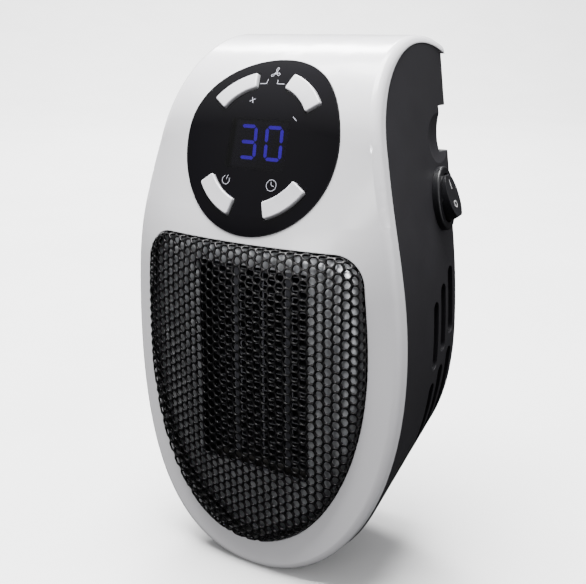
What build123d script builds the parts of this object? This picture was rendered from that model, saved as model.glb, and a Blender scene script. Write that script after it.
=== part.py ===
from build123d import *
import os
from math import asin, atan, atan2, cos, degrees, pi, radians, sin, sqrt, tan

# A plug-in ceramic heater. Every piece is drawn with x to the right, y as the depth behind
# the front of the grille and z as the height above the lowest point of the cover. The last
# step moves all pieces so that the origin is on the plug's axis, at the face of the plug.

# Overall sizes
body_height = 170.0
body_width = 101.6
body_depth = 65.5
plug_reach = 18.0
plug_axis_height = 140.7

# Fits shared by all pieces
overrun = 1.0
seat_gap = 0.1
part_gap = 0.3
running_gap = 0.15
shaft_fit = 0.05

# Cover outline seen from the front
widest_height = 76.0
flare_angle = 13.3
flare_radius = 180.0
outline_fullness_share = 0.63

# Cover face seen from the side
cover_front = 2.0
cover_side_front = 13.0
face_half_span = 54.0
hood_depth = 51.0
hood_radius = 38.0
panel_slope = 17.8
blend_radius = 90.0
chin_radius = 600.0
chin_height = 66.0
cover_wall = 2.0
rim_radius = 2.6
skirt_depth = 5.0
lip_height = 2.3
crossing_half_width = 9.0

# Posts inside the cover: two long ones for the housing, four for the board, four for the duct
post_radius = 3.6
post_x = 27.5
post_height = 157.0
board_post_radius = 2.6
board_post_x = 31.0
board_post_heights = (125.0, 148.0)
duct_post_radius = 2.0
duct_post_x = 44.9
duct_post_heights = (57.0, 95.0)

# Rear housing
housing_wall = 2.2
housing_straight_end = 16.4
housing_lid_front = 38.0
rear_half_width = 43.0
rear_base = 21.0
rear_flare_angle = 6.8
rear_flare_radius = 260.0
rear_edge_radius = 2.0
notch_middle = 141.0
notch_height = 14.4
notch_depth = 6.2
notch_inset = 4.6
dish_radius = 22.0
dish_drop = 1.3
dish_setback = 6.7
screw_boss_radius = 4.4
screw_sink = 2.0
lower_screw_x = 20.0
lower_screw_height = 35.0

# Grille
grille_proud = 2.0
grille_half_width = 41.8
grille_base = 10.5
grille_top = 108.5
grille_widest_height = 76.0
grille_flare_angle = 5.0
grille_flare_radius = 180.0
grille_corner_radius = 9.0
grille_fullness_share = 0.58
grille_sheet = 0.8
grille_wall_depth = 4.6
grille_flange = 1.8
grille_edge_radius = 1.4
hole_pitch = 5.6
hole_width = 4.5
hole_margin = 2.0

# Control panel and buttons
panel_height = 138.0
panel_depth = 13.4
panel_tilt = 24.0
panel_radius = 28.2
panel_proud = 0.35
panel_pocket = 1.1
panel_ledge = 2.2
button_inner_radius = 18.2
button_outer_radius = 23.5
button_half_span = 19.5
button_angle = 53.5
button_corner_radius = 0.7
button_gap = 0.35
button_proud = 1.3
button_edge_radius = 0.4
button_travel = 0.5
button_cap = 2.6
button_flange = 1.0
button_stem_radius = 1.5

# Control board, key switches and display
board_thickness = 1.6
board_depth = 33.0
board_half_width = 34.0
board_neck_half_width = 21.5
board_base = 117.0
board_shoulder = 151.0
board_top = 159.0
key_size = 6.0
key_body = 3.6
key_plunger_radius = 1.7
key_plunger = 0.7
display_depth = 16.6
display_offset = -0.6
display_width = 20.4
display_height = 14.0
display_body = 7.0
display_spacer_width = 17.0
display_spacer_height = 9.0
digit_height = 10.8
digit_width = 6.6
digit_pitch = 9.4
segment_width = 1.3
segment_gap = 0.15
segment_proud = 0.2

# Heater core
core_height_middle = 67.4
core_height = 66.0
core_depth = 15.0
core_front = 14.4
fin_width = 8.6
fin_folds = 15
fin_sheet = 0.3
bar_width = 2.5
bar_wall = 0.4
stone_count = 3
stone_length = 19.0
divider_width = 0.5
end_cap_height = 3.5
terminal_width = 6.3
terminal_sheet = 0.8
terminal_length = 8.0

# Shield in front of the core
shield_depth = 11.6
shield_sheet = 1.0
shield_opening_width = 42.6
shield_opening_height = 68.0
shield_collar = 2.8
shield_boss_radius = 2.5
shield_boss_x = 34.0

# Duct that carries the core, and the fan behind it
duct_wall = 1.8
duct_gap = 0.2
strap_half_height = 2.2
fan_radius = 31.0
fan_tip_gap = 1.2
fan_front = 33.5
fan_depth = 10.0
fan_hub_radius = 11.0
fan_hub_wall = 1.4
fan_blades = 7
blade_root_angle = 50.0
blade_tip_angle = 32.0
blade_root_chord = 12.0
blade_tip_chord = 17.0
blade_sheet = 1.4
duct_rear = 45.4
cutout_radius = 6.0
cutout_length = 4.0
cutout_height = 76.0
cutout_depth = 23.0
cutout_tab_width = 3.2
cutout_tab_length = 4.0

# Motor and its bracket
motor_radius = 12.2
motor_length = 14.4
motor_gap = 1.6
motor_nose_radius = 3.5
shaft_radius = 1.0
shaft_boss_radius = 2.6
bracket_sheet = 1.8
bracket_collar = 4.2
bracket_arm_width = 6.0
bracket_screw_radius = 35.5
bracket_boss_radius = 3.0
bracket_boss_length = 8.0
motor_edge_radius = 0.8
motor_nose_length = 0.8
motor_end_wall = 1.8

# Air slots in the sides and the back
slot_width = 4.9
slot_pitch = 7.3
slot_first_depth = 44.0
slot_columns = 3
slot_length = 22.6
slot_first_top = 88.6
slot_step = 4.3
slot_bridge = 4.6
lower_slot_length = 24.0
back_slot_count = 5
back_slot_base = 46.0
back_slot_top = 92.0

# Rocker switch on the right side
switch_height = 119.5
switch_depth = 55.4
switch_lean = 8.2
switch_turn = 6.7
bezel_height = 20.4
bezel_width = 15.0
bezel_proud = 2.0
bezel_wall = 2.3
bezel_seat = 1.2
switch_body_depth = 11.0
switch_cavity_depth = 6.0
switch_tab_width = 4.8
switch_tab_length = 5.0
rocker_angle = 12.0
rocker_gap = 0.45
rocker_pivot_height = 0.8
rocker_pivot_radius = 1.2
rocker_pivot_length = 1.0
rocker_face = 3.4
rocker_underside = 2.0

# Plug and its turntable
plug_radius = 18.2
plug_edge_radius = 2.0
plug_groove_radius = 3.0
pin_radius = 2.4
pin_root_radius = 2.0
pin_tip_radius = 1.2
pin_length = 19.0
pin_seat_depth = 0.3
pin_root_cover = 1.2
pin_spacing = 19.0
turntable_radius = 21.0
turntable_proud = 0.8
turntable_recess = 1.4
turntable_edge_radius = 0.5
turntable_boss_radius = 24.0
hub_radius = 15.0
retainer_radius = 18.5
retainer_thickness = 1.6
outer_ring_radius = 11.0
inner_ring_radius = 6.4
ring_width = 2.4
ring_thickness = 0.5
turntable_screw_radius = 13.2

# Power board between the control board and the turntable
power_board_depth = 40.0
power_board_half_width = 30.0
power_board_base = 114.0
power_board_top = 152.0
power_post_radius = 2.5
power_posts_low = (20.0, 118.0)
power_posts_high = (27.0, 148.0)
relay_width = 19.0
relay_height = 15.5
relay_depth = 15.0
relay_x = -7.5
relay_base = 115.5
capacitor_width = 13.0
capacitor_height = 9.0
capacitor_depth = 12.0
capacitor_x = 10.5
capacitor_base = 116.5
capacitor_edge_radius = 1.0
contact_width = 2.4
contact_sheet = 0.5
contact_foot = 4.0
contact_rise = 3.0
contact_bend_radius = 0.8

# Screws
screw_radius = 1.4
screw_head_radius = 2.8
screw_head_height = 1.6
screw_grip = 8.0
small_screw_radius = 0.9
small_head_radius = 1.7
small_head_height = 1.2
small_screw_grip = 4.0
duct_screw_grip = 1.8

# Places worked out from the sizes above
hood_middle = body_height - hood_radius
back = body_depth + overrun
core_back = core_front + core_depth
core_base = core_height_middle - core_height / 2
core_top = core_height_middle + core_height / 2
bar_x = divider_width / 2 + fin_width + bar_width / 2
core_half_width = divider_width / 2 + 2 * fin_width + bar_width + divider_width
plate_front = core_back + duct_gap
fan_back = fan_front + fan_depth
motor_front = fan_back + motor_gap
motor_back = motor_front + motor_length
wall_inner = body_depth - housing_wall
screw_seat = body_depth - screw_sink
post_end = screw_seat - housing_wall
plug_face = body_depth + plug_reach
plug_root = body_depth + turntable_proud
recess_floor = body_depth - turntable_recess
hub_front = recess_floor - housing_wall - running_gap
pin_root_front = hub_front + pin_root_cover
retainer_front = hub_front - retainer_thickness
ring_front = retainer_front - ring_thickness
key_front = board_depth - key_body - key_plunger
strap_rear = core_front + duct_wall


def outline(half, widest, base, top, angle, radius, fullness_share, corner=0.0):
    """Upright outline: full round chin, sides that lean in by an angle, straight top."""
    drop = widest - base
    chin = Bezier(
        (0, base),
        (half * fullness_share, base),
        (half, widest - drop * fullness_share),
        (half, widest),
    )
    side = CenterArc((half - radius, widest), radius, 0, angle)
    shoulder = side @ 1
    top_half = shoulder.X - (top - shoulder.Y) * tan(radians(angle))
    lean = Line(shoulder, (top_half, top))
    half_line = Curve() + [chin, side, lean]
    lid = Line((top_half, top), (-top_half, top))
    face = make_face(half_line + mirror(half_line, Plane.YZ) + lid)
    if corner > 0:
        face = fillet(face.vertices().sort_by(Axis.Y)[-2:], corner)
    return Plane.XZ * face


def prism(face, front, rear):
    """Straight block of an upright outline between two depths."""
    return Pos(0, rear, 0) * extrude(face, amount=rear - front)


def side_wire(x, slope, front, deep, drop):
    """One station of the cover face: chin arc, upright, blend, panel slope and hood."""
    deep_radius = hood_radius - deep
    drop_radius = hood_radius - drop
    blend = blend_radius - deep
    low = -overrun
    turn = radians(slope)
    start = atan(tan(turn) * drop_radius / deep_radius)
    stop = pi / 2 + asin((back - hood_depth) / deep_radius)
    tangent_y = hood_depth - deep_radius * cos(start)
    tangent_z = hood_middle + drop_radius * sin(start)
    if slope > 0:
        reach = front + deep + blend
        offset = -tangent_y * cos(turn) + tangent_z * sin(turn)
        upright_top = (offset - blend + reach * cos(turn)) / sin(turn)
        join = (reach - blend * cos(turn), upright_top + blend * sin(turn))
        blend_edge = CenterArc((reach, upright_top), blend, 180, -slope)
        chin_center = (front + deep + chin_radius, chin_height)
        chin_turn = degrees(asin((chin_height - low) / chin_radius))
        chin_edge = CenterArc(chin_center, chin_radius, 180 + chin_turn, -chin_turn)
    else:
        flat = tangent_y
        upright_top = (chin_height + tangent_z) / 2
        join = (flat, (upright_top + tangent_z) / 2)
        blend_edge = Line((flat, upright_top), join)
        chin_edge = Line((flat, low), (flat, chin_height))
    upright_edge = Line(chin_edge @ 1, blend_edge @ 0)
    slope_edge = Line(join, (tangent_y, tangent_z))
    hood_edge = EllipticalCenterArc(
        (hood_depth, hood_middle),
        deep_radius,
        drop_radius,
        180 - degrees(start),
        arc_size=degrees(start - stop),
    )
    rear_edge = Line(hood_edge @ 1, (back, low))
    base_edge = Line((back, low), chin_edge @ 0)
    edges = [chin_edge, upright_edge, blend_edge, slope_edge, hood_edge, rear_edge, base_edge]
    return Pos(x, 0, 0) * (Plane.YZ * Wire(edges))


def face_block(deep=0.0, drop=0.0):
    """Everything behind the cover face, set back by deep at the front and by drop on top."""
    stations = [
        side_wire(-face_half_span, 0, cover_side_front, deep, drop),
        side_wire(0, panel_slope, cover_front, deep, drop),
        side_wire(face_half_span, 0, cover_side_front, deep, drop),
    ]
    return Part() + Solid.make_loft(stations)


def cover_outline(inset):
    return outline(
        body_width / 2 - inset,
        widest_height,
        inset,
        body_height + overrun,
        flare_angle,
        flare_radius,
        outline_fullness_share,
    )


def rear_outline(inset):
    return outline(
        rear_half_width - inset,
        widest_height,
        rear_base + inset,
        body_height + overrun,
        rear_flare_angle,
        rear_flare_radius,
        outline_fullness_share,
    )


def grille_outline(inset):
    return outline(
        grille_half_width - inset,
        grille_widest_height,
        grille_base + inset,
        grille_top - inset,
        grille_flare_angle,
        grille_flare_radius,
        grille_fullness_share,
        grille_corner_radius - inset,
    )


def block(x_range, y_range, z_range):
    """Box between pairs of limits."""
    size = [high - low for low, high in (x_range, y_range, z_range)]
    center = [(high + low) / 2 for low, high in (x_range, y_range, z_range)]
    return Pos(*center) * Box(*size)


def rod(radius, front, rear, x=0.0, z=0.0):
    """Round bar along the depth."""
    return Pos(x, (front + rear) / 2, z) * Rot(90, 0, 0) * Cylinder(radius, rear - front)


def tube(outer, inner, front, rear, x=0.0, z=0.0):
    return rod(outer, front, rear, x, z) - rod(inner, front - overrun, rear + overrun, x, z)


panel_axis = Plane(
    origin=(0, panel_depth, panel_height),
    x_dir=(1, 0, 0),
    z_dir=(0, -cos(radians(panel_tilt)), sin(radians(panel_tilt))),
)


def panel_bore(radius):
    """Round bar square to the panel, through the face."""
    return panel_axis * Cylinder(radius, 2 * panel_radius)


def button_prism(middle_angle, inset=0.0):
    """Part of a ring around the panel's centre with rounded corners, square to the panel."""
    half_span = button_half_span - degrees(inset / button_inner_radius)
    start = middle_angle - half_span
    inner = CenterArc((0, 0), button_inner_radius + inset, start, 2 * half_span)
    outer = CenterArc((0, 0), button_outer_radius - inset, start, 2 * half_span)
    ends = [Line(inner @ 0, outer @ 0), Line(inner @ 1, outer @ 1)]
    band = make_face(Curve() + [inner, outer] + ends)
    band = fillet(band.vertices(), button_corner_radius)
    return panel_axis * extrude(band, amount=panel_radius, both=True)


def button_middle(middle_angle):
    """Where the middle of a button lies, in x, depth and height."""
    middle = (button_inner_radius + button_outer_radius) / 2
    spot = (middle * cos(radians(middle_angle)), middle * sin(radians(middle_angle)), 0)
    return panel_axis.from_local_coords(spot)


def face_layer(front, rear):
    """Layer that follows the cover face, between two depths measured from it."""
    return face_block(front, front) - face_block(rear, rear)


def side_half(half, angle, radius, height):
    """Half width of a leaning outline at a height above its widest place."""
    turn = radians(angle)
    rise = height - widest_height - radius * sin(turn)
    return half - radius * (1 - cos(turn)) - rise * tan(turn)


def side_reach(height, depth):
    """Half width of the housing's side at a height and a depth."""
    front_half = side_half(body_width / 2, flare_angle, flare_radius, height)
    rear_half = side_half(rear_half_width, rear_flare_angle, rear_flare_radius, height)
    share = (depth - housing_straight_end) / (body_depth - housing_straight_end)
    return front_half + (rear_half - front_half) * share


def mirrored(places):
    return [(side * x, z) for side in (-1, 1) for x, z in places]


button_angles = {
    "temp_up_button": 180 - button_angle,
    "temp_down_button": button_angle,
    "power_button": 180 + button_angle,
    "timer_button": -button_angle,
}
upper_posts = mirrored([(post_x, post_height)])
lower_posts = mirrored([(lower_screw_x, lower_screw_height)])
board_posts = mirrored([(board_post_x, height) for height in board_post_heights])
duct_posts = mirrored([(duct_post_x, height) for height in duct_post_heights])
shield_bosses = mirrored([(shield_boss_x, height) for height in duct_post_heights])
power_posts = mirrored([power_posts_low, power_posts_high])


def is_rim(edge):
    """Edge between the cover face and the cover's outline, apart from the rear end."""
    middle = edge @ 0.5
    if edge.geom_type != GeomType.BSPLINE or middle.Y > body_depth - overrun:
        return False
    crosses_face = abs(middle.X) < crossing_half_width
    return middle.Z < overrun or not crosses_face


def front_cover():
    """Shell with a turned rim, the grille opening, the panel's seat and screw posts."""
    solid = face_block() & prism(cover_outline(0), -overrun, body_depth)
    shell = fillet(solid.edges().filter_by(is_rim), rim_radius)
    hollow = face_block(cover_wall, cover_wall)
    shell -= hollow & prism(cover_outline(cover_wall), -overrun, back)
    shell -= face_block(skirt_depth, lip_height)
    shell -= prism(grille_outline(-part_gap), -overrun, core_front)
    shell -= panel_bore(panel_radius + seat_gap) - face_block(panel_pocket, panel_pocket)
    shell -= panel_bore(panel_radius - panel_ledge)
    inside = face_block(cover_wall / 2, cover_wall / 2)
    thick = screw_radius
    thin = small_screw_radius
    groups = (
        (upper_posts, post_radius, post_end - seat_gap, thick, screw_grip + overrun),
        (board_posts, board_post_radius, board_depth, thin, small_screw_grip + overrun),
        (duct_posts, duct_post_radius, core_front, thin, duct_screw_grip + seat_gap),
    )
    for places, radius, rear, bore, bore_depth in groups:
        for x, z in places:
            shell += rod(radius, 0, rear, x, z) & inside
            shell -= rod(bore + shaft_fit, rear - bore_depth, rear + overrun, x, z)
    return shell


def grille_face(inset, deep):
    """Grille's domed front, drawn in at its outline and set back."""
    depth = deep - grille_proud
    return prism(grille_outline(inset), -overrun, core_front) & face_block(depth, depth)


def is_dome_edge(edge):
    """Edge between the grille's dome and its wall."""
    return edge.geom_type == GeomType.BSPLINE and (edge @ 0.5).Y < core_front - overrun


def grille():
    """Domed sheet with a hexagonal pattern of holes, a turned wall and a flange behind it."""
    wall_end = grille_wall_depth - grille_proud
    cup = grille_face(0, 0)
    cup = fillet(cup.edges().filter_by(is_dome_edge), grille_edge_radius)
    cup -= grille_face(grille_sheet, grille_sheet)
    cup -= face_block(wall_end, wall_end)
    flange = prism(grille_outline(-grille_flange), -overrun, core_front)
    flange &= face_layer(cover_wall, cover_wall + grille_sheet)
    flange -= prism(grille_outline(grille_sheet), -overrun, core_front)
    return cup + flange - grille_holes()


def grille_holes():
    """Hexagonal holes in rows, kept clear of the grille's edge."""
    margin = grille_outline(grille_sheet + hole_margin + hole_width / 2)
    column_step = hole_pitch * sqrt(3) / 2
    columns = int(grille_half_width / column_step)
    rows = int((grille_top - grille_base) / hole_pitch) + 1
    holes = []
    for column in range(-columns, columns + 1):
        for row in range(rows):
            shift = hole_pitch / 2 if column % 2 else 0
            x = column * column_step
            z = grille_base + shift + row * hole_pitch
            holes.append((x, z))
    inside = [place for place in holes if is_within(margin, place)]
    hexagon = RegularPolygon(hole_width / 2, 6, major_radius=False)
    pattern = Sketch() + [Pos(x, z) * hexagon for x, z in inside]
    return prism(Plane.XZ * pattern, -overrun, core_front)


def is_within(face, place):
    x, z = place
    return face.is_inside((x, 0, z))


def housing_block(inset):
    """Rear housing's outer form, drawn in on every side."""
    front = cover_outline(inset)
    end = Pos(0, body_depth - inset, 0) * rear_outline(inset)
    taper = loft([Pos(0, housing_straight_end, 0) * front, end], ruled=True)
    return prism(front, cover_front, housing_straight_end) + taper


def notch(gap=0.0):
    """Notches in both rear side edges."""
    reach = side_reach(notch_middle, body_depth) - notch_inset - gap
    low = notch_middle - notch_height / 2 - gap
    high = notch_middle + notch_height / 2 + gap
    depths = (body_depth - notch_depth - gap, back)
    right = block((reach, body_width), depths, (low, high))
    return right + mirror(right, Plane.YZ)


def dish():
    """Finger dishes in front of the notches."""
    depth = body_depth - dish_setback
    reach = side_reach(notch_middle, depth) + dish_radius - dish_drop
    right = Pos(reach, depth, notch_middle) * Sphere(dish_radius)
    return right + mirror(right, Plane.YZ)


def side_slots():
    """Round-ended air slots through both sides, in columns that step up to the rear."""
    cut = Part()
    for column in range(slot_columns):
        depth = slot_first_depth + column * slot_pitch
        top = slot_first_top + column * slot_step
        lower_top = top - slot_length - slot_bridge
        for high, length in ((top, slot_length), (lower_top, lower_slot_length)):
            slot = Pos(depth, high - length / 2) * SlotOverall(length, slot_width, rotation=90)
            cut += extrude(Plane.YZ * slot, amount=body_width, both=True)
    return cut


def back_slots():
    """Upright slots through the back, under the turntable."""
    height = back_slot_top - back_slot_base
    middle = (back_slot_top + back_slot_base) / 2
    cut = Part()
    for index in range(back_slot_count):
        x = (index - (back_slot_count - 1) / 2) * slot_pitch
        slot = Pos(x, middle) * SlotOverall(height, slot_width, rotation=90)
        cut += prism(Plane.XZ * slot, post_end, back)
    return cut


def rear_housing():
    """Tapered shell with air slots, side notches, screw bosses and the turntable's seat."""
    gap = part_gap
    shell = housing_block(0) & face_block(skirt_depth + gap, lip_height + gap)
    rear_face = shell.faces().sort_by(Axis.Y)[-1]
    shell = fillet(rear_face.edges(), rear_edge_radius)
    lid = face_block(skirt_depth + gap + housing_wall, lip_height + gap + housing_wall)
    inside = housing_block(housing_wall) - notch(housing_wall)
    shell -= inside & lid
    front_part = block((-body_width, body_width), (-overrun, housing_lid_front), (0, body_height))
    shell -= inside & front_part
    shell += rod(turntable_boss_radius, recess_floor - housing_wall, wall_inner, 0, plug_axis_height)
    for x, z in upper_posts + lower_posts:
        shell += rod(screw_boss_radius, post_end, wall_inner, x, z)
    for x, z in power_posts:
        shell += rod(power_post_radius, power_board_depth + board_thickness, wall_inner, x, z)
    shell -= rod(turntable_radius + part_gap, recess_floor, back, 0, plug_axis_height)
    shell -= rod(hub_radius + shaft_fit, post_end - housing_wall, back, 0, plug_axis_height)
    for x, z in upper_posts + lower_posts:
        shell -= rod(screw_head_radius + part_gap, screw_seat, back, x, z)
        shell -= rod(screw_radius + shaft_fit, post_end - overrun, back, x, z)
    bore_end = power_board_depth + board_thickness + small_screw_grip + overrun
    for x, z in power_posts:
        shell -= rod(small_screw_radius + shaft_fit, power_board_depth, bore_end, x, z)
    shell -= notch() + dish()
    shell -= side_slots() + back_slots()
    return shell - switch_hole()


def control_panel():
    """Round lens that follows the face, with openings for the buttons."""
    panel = panel_bore(panel_radius) & face_layer(-panel_proud, panel_pocket - seat_gap)
    for angle in button_angles.values():
        panel -= button_prism(angle, -button_gap)
    return panel


def cap_edges(cap):
    """Edges round the outer face of a key cap."""
    places = [(edge, panel_axis.to_local_coords(edge @ 0.5).Z) for edge in cap.edges()]
    places = [(edge, rise) for edge, rise in places if edge.geom_type != GeomType.LINE]
    middle = sum(rise for edge, rise in places) / len(places)
    return ShapeList([edge for edge, rise in places if rise > middle])


def button(angle):
    """Key cap that follows the face, with a flange behind the panel and a stem to its switch."""
    middle = button_middle(angle)
    cap = button_prism(angle) & face_layer(-button_proud, button_cap)
    cap = fillet(cap_edges(cap), button_edge_radius)
    flange = button_prism(angle, -button_flange)
    flange &= face_layer(panel_pocket + button_gap, button_cap)
    stem = rod(button_stem_radius, middle.Y, key_front - button_travel - shaft_fit, middle.X, middle.Z)
    return cap + flange + (stem & face_block())


def board(holes, depth, bodies):
    """Circuit board from upright blocks, with its screw holes."""
    plate = Part() + bodies
    rear = depth + board_thickness
    for x, z in holes:
        plate -= rod(small_screw_radius + seat_gap, depth - overrun, rear + overrun, x, z)
    return plate


def control_board():
    depths = (board_depth, board_depth + board_thickness)
    wide = block((-board_half_width, board_half_width), depths, (board_base, board_shoulder))
    neck = block((-board_neck_half_width, board_neck_half_width), depths, (board_base, board_top))
    return board(board_posts, board_depth, [wide, neck])


def power_board():
    widths = (-power_board_half_width, power_board_half_width)
    depths = (power_board_depth, power_board_depth + board_thickness)
    plate = block(widths, depths, (power_board_base, power_board_top))
    return board(power_posts, power_board_depth, [plate])


def key_switches():
    """Push switches on the control board, one behind each button."""
    keys = []
    half = key_size / 2
    body_front = board_depth - key_body
    for angle in button_angles.values():
        spot = button_middle(angle)
        widths = (spot.X - half, spot.X + half)
        heights = (spot.Z - half, spot.Z + half)
        body = block(widths, (body_front, board_depth), heights)
        keys.append(body + rod(key_plunger_radius, key_front, body_front, spot.X, spot.Z))
    return keys


def display_block(width, height, front, rear):
    return block(
        (display_offset - width / 2, display_offset + width / 2),
        (front, rear),
        (panel_height - height / 2, panel_height + height / 2),
    )


def segment(x, z, length, upright):
    """One bar of a digit, with pointed ends."""
    half = length / 2 - segment_gap
    side = segment_width / 2
    shoulder = half - side
    upper = [(-half, 0), (-shoulder, side), (shoulder, side)]
    lower = [(-x, -z) for x, z in upper]
    bar = make_face(Polyline(upper + lower, close=True))
    face = Plane.XZ * (Pos(x, z) * Rot(0, 0, 90 if upright else 0) * bar)
    return prism(face, display_depth - segment_proud, display_depth)


def display_segments():
    """The lit bars of the digits 3 and 0."""
    wide = digit_width - segment_width
    tall = (digit_height - segment_width) / 2
    places = {
        "top": (0, tall, wide, False),
        "middle": (0, 0, wide, False),
        "bottom": (0, -tall, wide, False),
        "upper_left": (-wide / 2, tall / 2, tall, True),
        "upper_right": (wide / 2, tall / 2, tall, True),
        "lower_left": (-wide / 2, -tall / 2, tall, True),
        "lower_right": (wide / 2, -tall / 2, tall, True),
    }
    digits = ({"upper_left", "lower_left"}, {"middle"})
    bars = []
    for index, dark in enumerate(digits):
        shift = display_offset + (index - 1 / 2) * digit_pitch
        for name, (x, z, length, upright) in places.items():
            if name not in dark:
                bars.append(segment(x + shift, z + panel_height, length, upright))
    return bars


def heat_shield():
    """Flat baffle behind the grille with a collar round the core's window."""
    half_width = shield_opening_width / 2
    half_height = shield_opening_height / 2
    low = core_height_middle - half_height
    high = core_height_middle + half_height
    wall = shield_sheet
    rear = shield_depth + shield_sheet
    plate = prism(grille_outline(grille_sheet + part_gap), shield_depth, rear)
    collar = block(
        (-half_width - wall, half_width + wall),
        (shield_depth - shield_collar, shield_depth),
        (low - wall, high + wall),
    )
    plate += collar
    plate -= block((-half_width, half_width), (0, core_front), (low, high))
    for x, z in shield_bosses:
        plate += rod(shield_boss_radius, rear, core_front, x, z)
        plate -= rod(small_screw_radius + shaft_fit, rear, core_front + overrun, x, z)
    return plate


def folded_fins(left, right):
    """Sheet folded to and fro between two bars."""
    step = (core_height - fin_sheet) / (2 * fin_folds)
    upper = [(left, core_base), (left, core_base + fin_sheet)]
    lower = []
    for index in range(fin_folds):
        z = core_base + 2 * step * index
        turn = z + step
        rise = z + 2 * step
        upper += [(right - fin_sheet, z + fin_sheet), (right - fin_sheet, turn), (left, turn)]
        upper += [(left, rise + fin_sheet)]
        lower += [(right, z), (right, turn + fin_sheet), (left + fin_sheet, turn + fin_sheet)]
        lower += [(left + fin_sheet, rise)]
    lower[-1] = (left + fin_sheet, core_top)
    face = make_face(Polyline(upper[:-1] + lower[::-1], close=True))
    return prism(Plane.XZ * face, core_front, core_back)


def fin_strips():
    inner = divider_width / 2
    outer = inner + fin_width + bar_width
    starts = (-outer - fin_width, -inner - fin_width, inner, outer)
    return [folded_fins(start, start + fin_width) for start in starts]


def core_bars():
    """Flat tubes between the fins, which hold the heating stones."""
    half = bar_width / 2
    bars = []
    for x in (-bar_x, bar_x):
        outer = block((x - half, x + half), (core_front, core_back), (core_base, core_top))
        inner = block(
            (x - half + bar_wall, x + half - bar_wall),
            (core_front + bar_wall, core_back - bar_wall),
            (core_base - overrun, core_top + overrun),
        )
        bars.append(outer - inner)
    return bars


def heating_stones():
    half = bar_width / 2 - bar_wall - shaft_fit
    depths = (core_front + bar_wall + shaft_fit, core_back - bar_wall - shaft_fit)
    stones = []
    for x in (-bar_x, bar_x):
        for index in range(stone_count):
            middle = core_base + core_height * (index + 1 / 2) / stone_count
            heights = (middle - stone_length / 2, middle + stone_length / 2)
            stones.append(block((x - half, x + half), depths, heights))
    return stones


def core_side_plates():
    """Thin plates beside the outer fins and one between the inner fins."""
    plates = []
    for low in (-core_half_width, -divider_width / 2, core_half_width - divider_width):
        plates.append(block((low, low + divider_width), (core_front, core_back), (core_base, core_top)))
    return plates


def core_end_caps():
    """Heat-proof caps under and over the core, with slots for the terminals."""
    half = core_half_width
    low = block((-half, half), (core_front, core_back), (core_base - end_cap_height, core_base))
    high = block((-half, half), (core_front, core_back), (core_top, core_top + end_cap_height))
    for x in (-bar_x, bar_x):
        high -= terminal(x, seat_gap)
    return [low, high]


def terminal(x, gap=0.0):
    half = terminal_sheet / 2 + gap
    middle = (core_front + core_back) / 2
    reach = terminal_width / 2 + gap
    top = core_top + end_cap_height + terminal_length
    return block((x - half, x + half), (middle - reach, middle + reach), (core_top, top))


def fan_duct():
    """Sleeve round the core, two straps to the cover, a rear plate and the fan's ring."""
    half = core_half_width + duct_gap
    outer = half + duct_wall
    low = core_base - end_cap_height - duct_gap
    high = core_top + end_cap_height + duct_gap
    plate_rear = plate_front + duct_wall
    ring_inner = fan_radius + fan_tip_gap
    ring_outer = ring_inner + duct_wall
    middle = core_height_middle
    duct = block((-outer, outer), (core_front, plate_rear), (low - duct_wall, high + duct_wall))
    duct += rod(ring_outer, plate_front, duct_rear, 0, middle)
    for height in duct_post_heights:
        heights = (height - strap_half_height, height + strap_half_height)
        duct += block((-duct_post_x, duct_post_x), (core_front, strap_rear), heights)
    for x, z in duct_posts:
        duct += rod(strap_half_height, core_front, strap_rear, x, z)
    duct -= block((-half, half), (0, plate_front), (low, high))
    window = block((-half, half), (0, plate_rear + overrun), (low, high))
    duct -= window & rod(ring_inner, 0, plate_rear + overrun, 0, middle)
    duct -= rod(ring_inner, plate_rear, back, 0, middle)
    for x in (-bar_x, bar_x):
        duct -= terminal(x, duct_gap)
    for x, z in duct_posts + shield_bosses:
        duct -= rod(small_screw_radius + seat_gap, 0, strap_rear + overrun, x, z)
    for x, z in lower_posts:
        duct += rod(post_radius, plate_front, post_end - seat_gap, x, z)
        duct -= rod(screw_radius + shaft_fit, post_end - screw_grip - overrun, back, x, z)
    for x, z in bracket_places():
        duct += rod(bracket_boss_radius, duct_rear - bracket_boss_length, duct_rear, x, z)
        duct -= rod(small_screw_radius + shaft_fit, duct_rear - small_screw_grip - overrun, back, x, z)
    return duct


def bracket_places():
    """Screw places of the motor bracket's three arms."""
    places = []
    for angle in (90, 210, 330):
        reach = bracket_screw_radius
        places.append((reach * cos(radians(angle)), core_height_middle + reach * sin(radians(angle))))
    return places


def motor_bracket():
    """Three arms on the fan's ring with a collar round the motor."""
    rear = duct_rear + bracket_sheet
    inner = motor_radius + seat_gap
    outer = inner + bracket_sheet
    bracket = rod(outer, duct_rear, duct_rear + bracket_collar, 0, core_height_middle)
    for x, z in bracket_places():
        angle = degrees(atan2(z - core_height_middle, x))
        arm = Pos(bracket_screw_radius / 2, 0) * Rectangle(bracket_screw_radius, bracket_arm_width)
        face = Plane.XZ * (Pos(0, core_height_middle) * Rot(0, 0, angle) * arm)
        bracket += prism(face, duct_rear, rear)
        bracket += rod(bracket_arm_width / 2, duct_rear, rear, x, z)
    for x, z in bracket_places():
        bracket -= rod(small_screw_radius + seat_gap, duct_rear - overrun, rear + overrun, x, z)
    return bracket - rod(inner, 0, back, 0, core_height_middle)


def fan_motor():
    """Motor can with a nose and a bore for its shaft."""
    middle = core_height_middle
    can = rod(motor_radius, motor_front, motor_back, 0, middle)
    edges = [edge for edge in can.edges() if edge.geom_type == GeomType.CIRCLE]
    can = fillet(ShapeList(edges), motor_edge_radius)
    nose_front = motor_front - motor_nose_length
    can += rod(motor_nose_radius, nose_front, motor_front + overrun, 0, middle)
    return can - rod(shaft_radius + shaft_fit, 0, motor_back - motor_end_wall, 0, middle)


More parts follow.
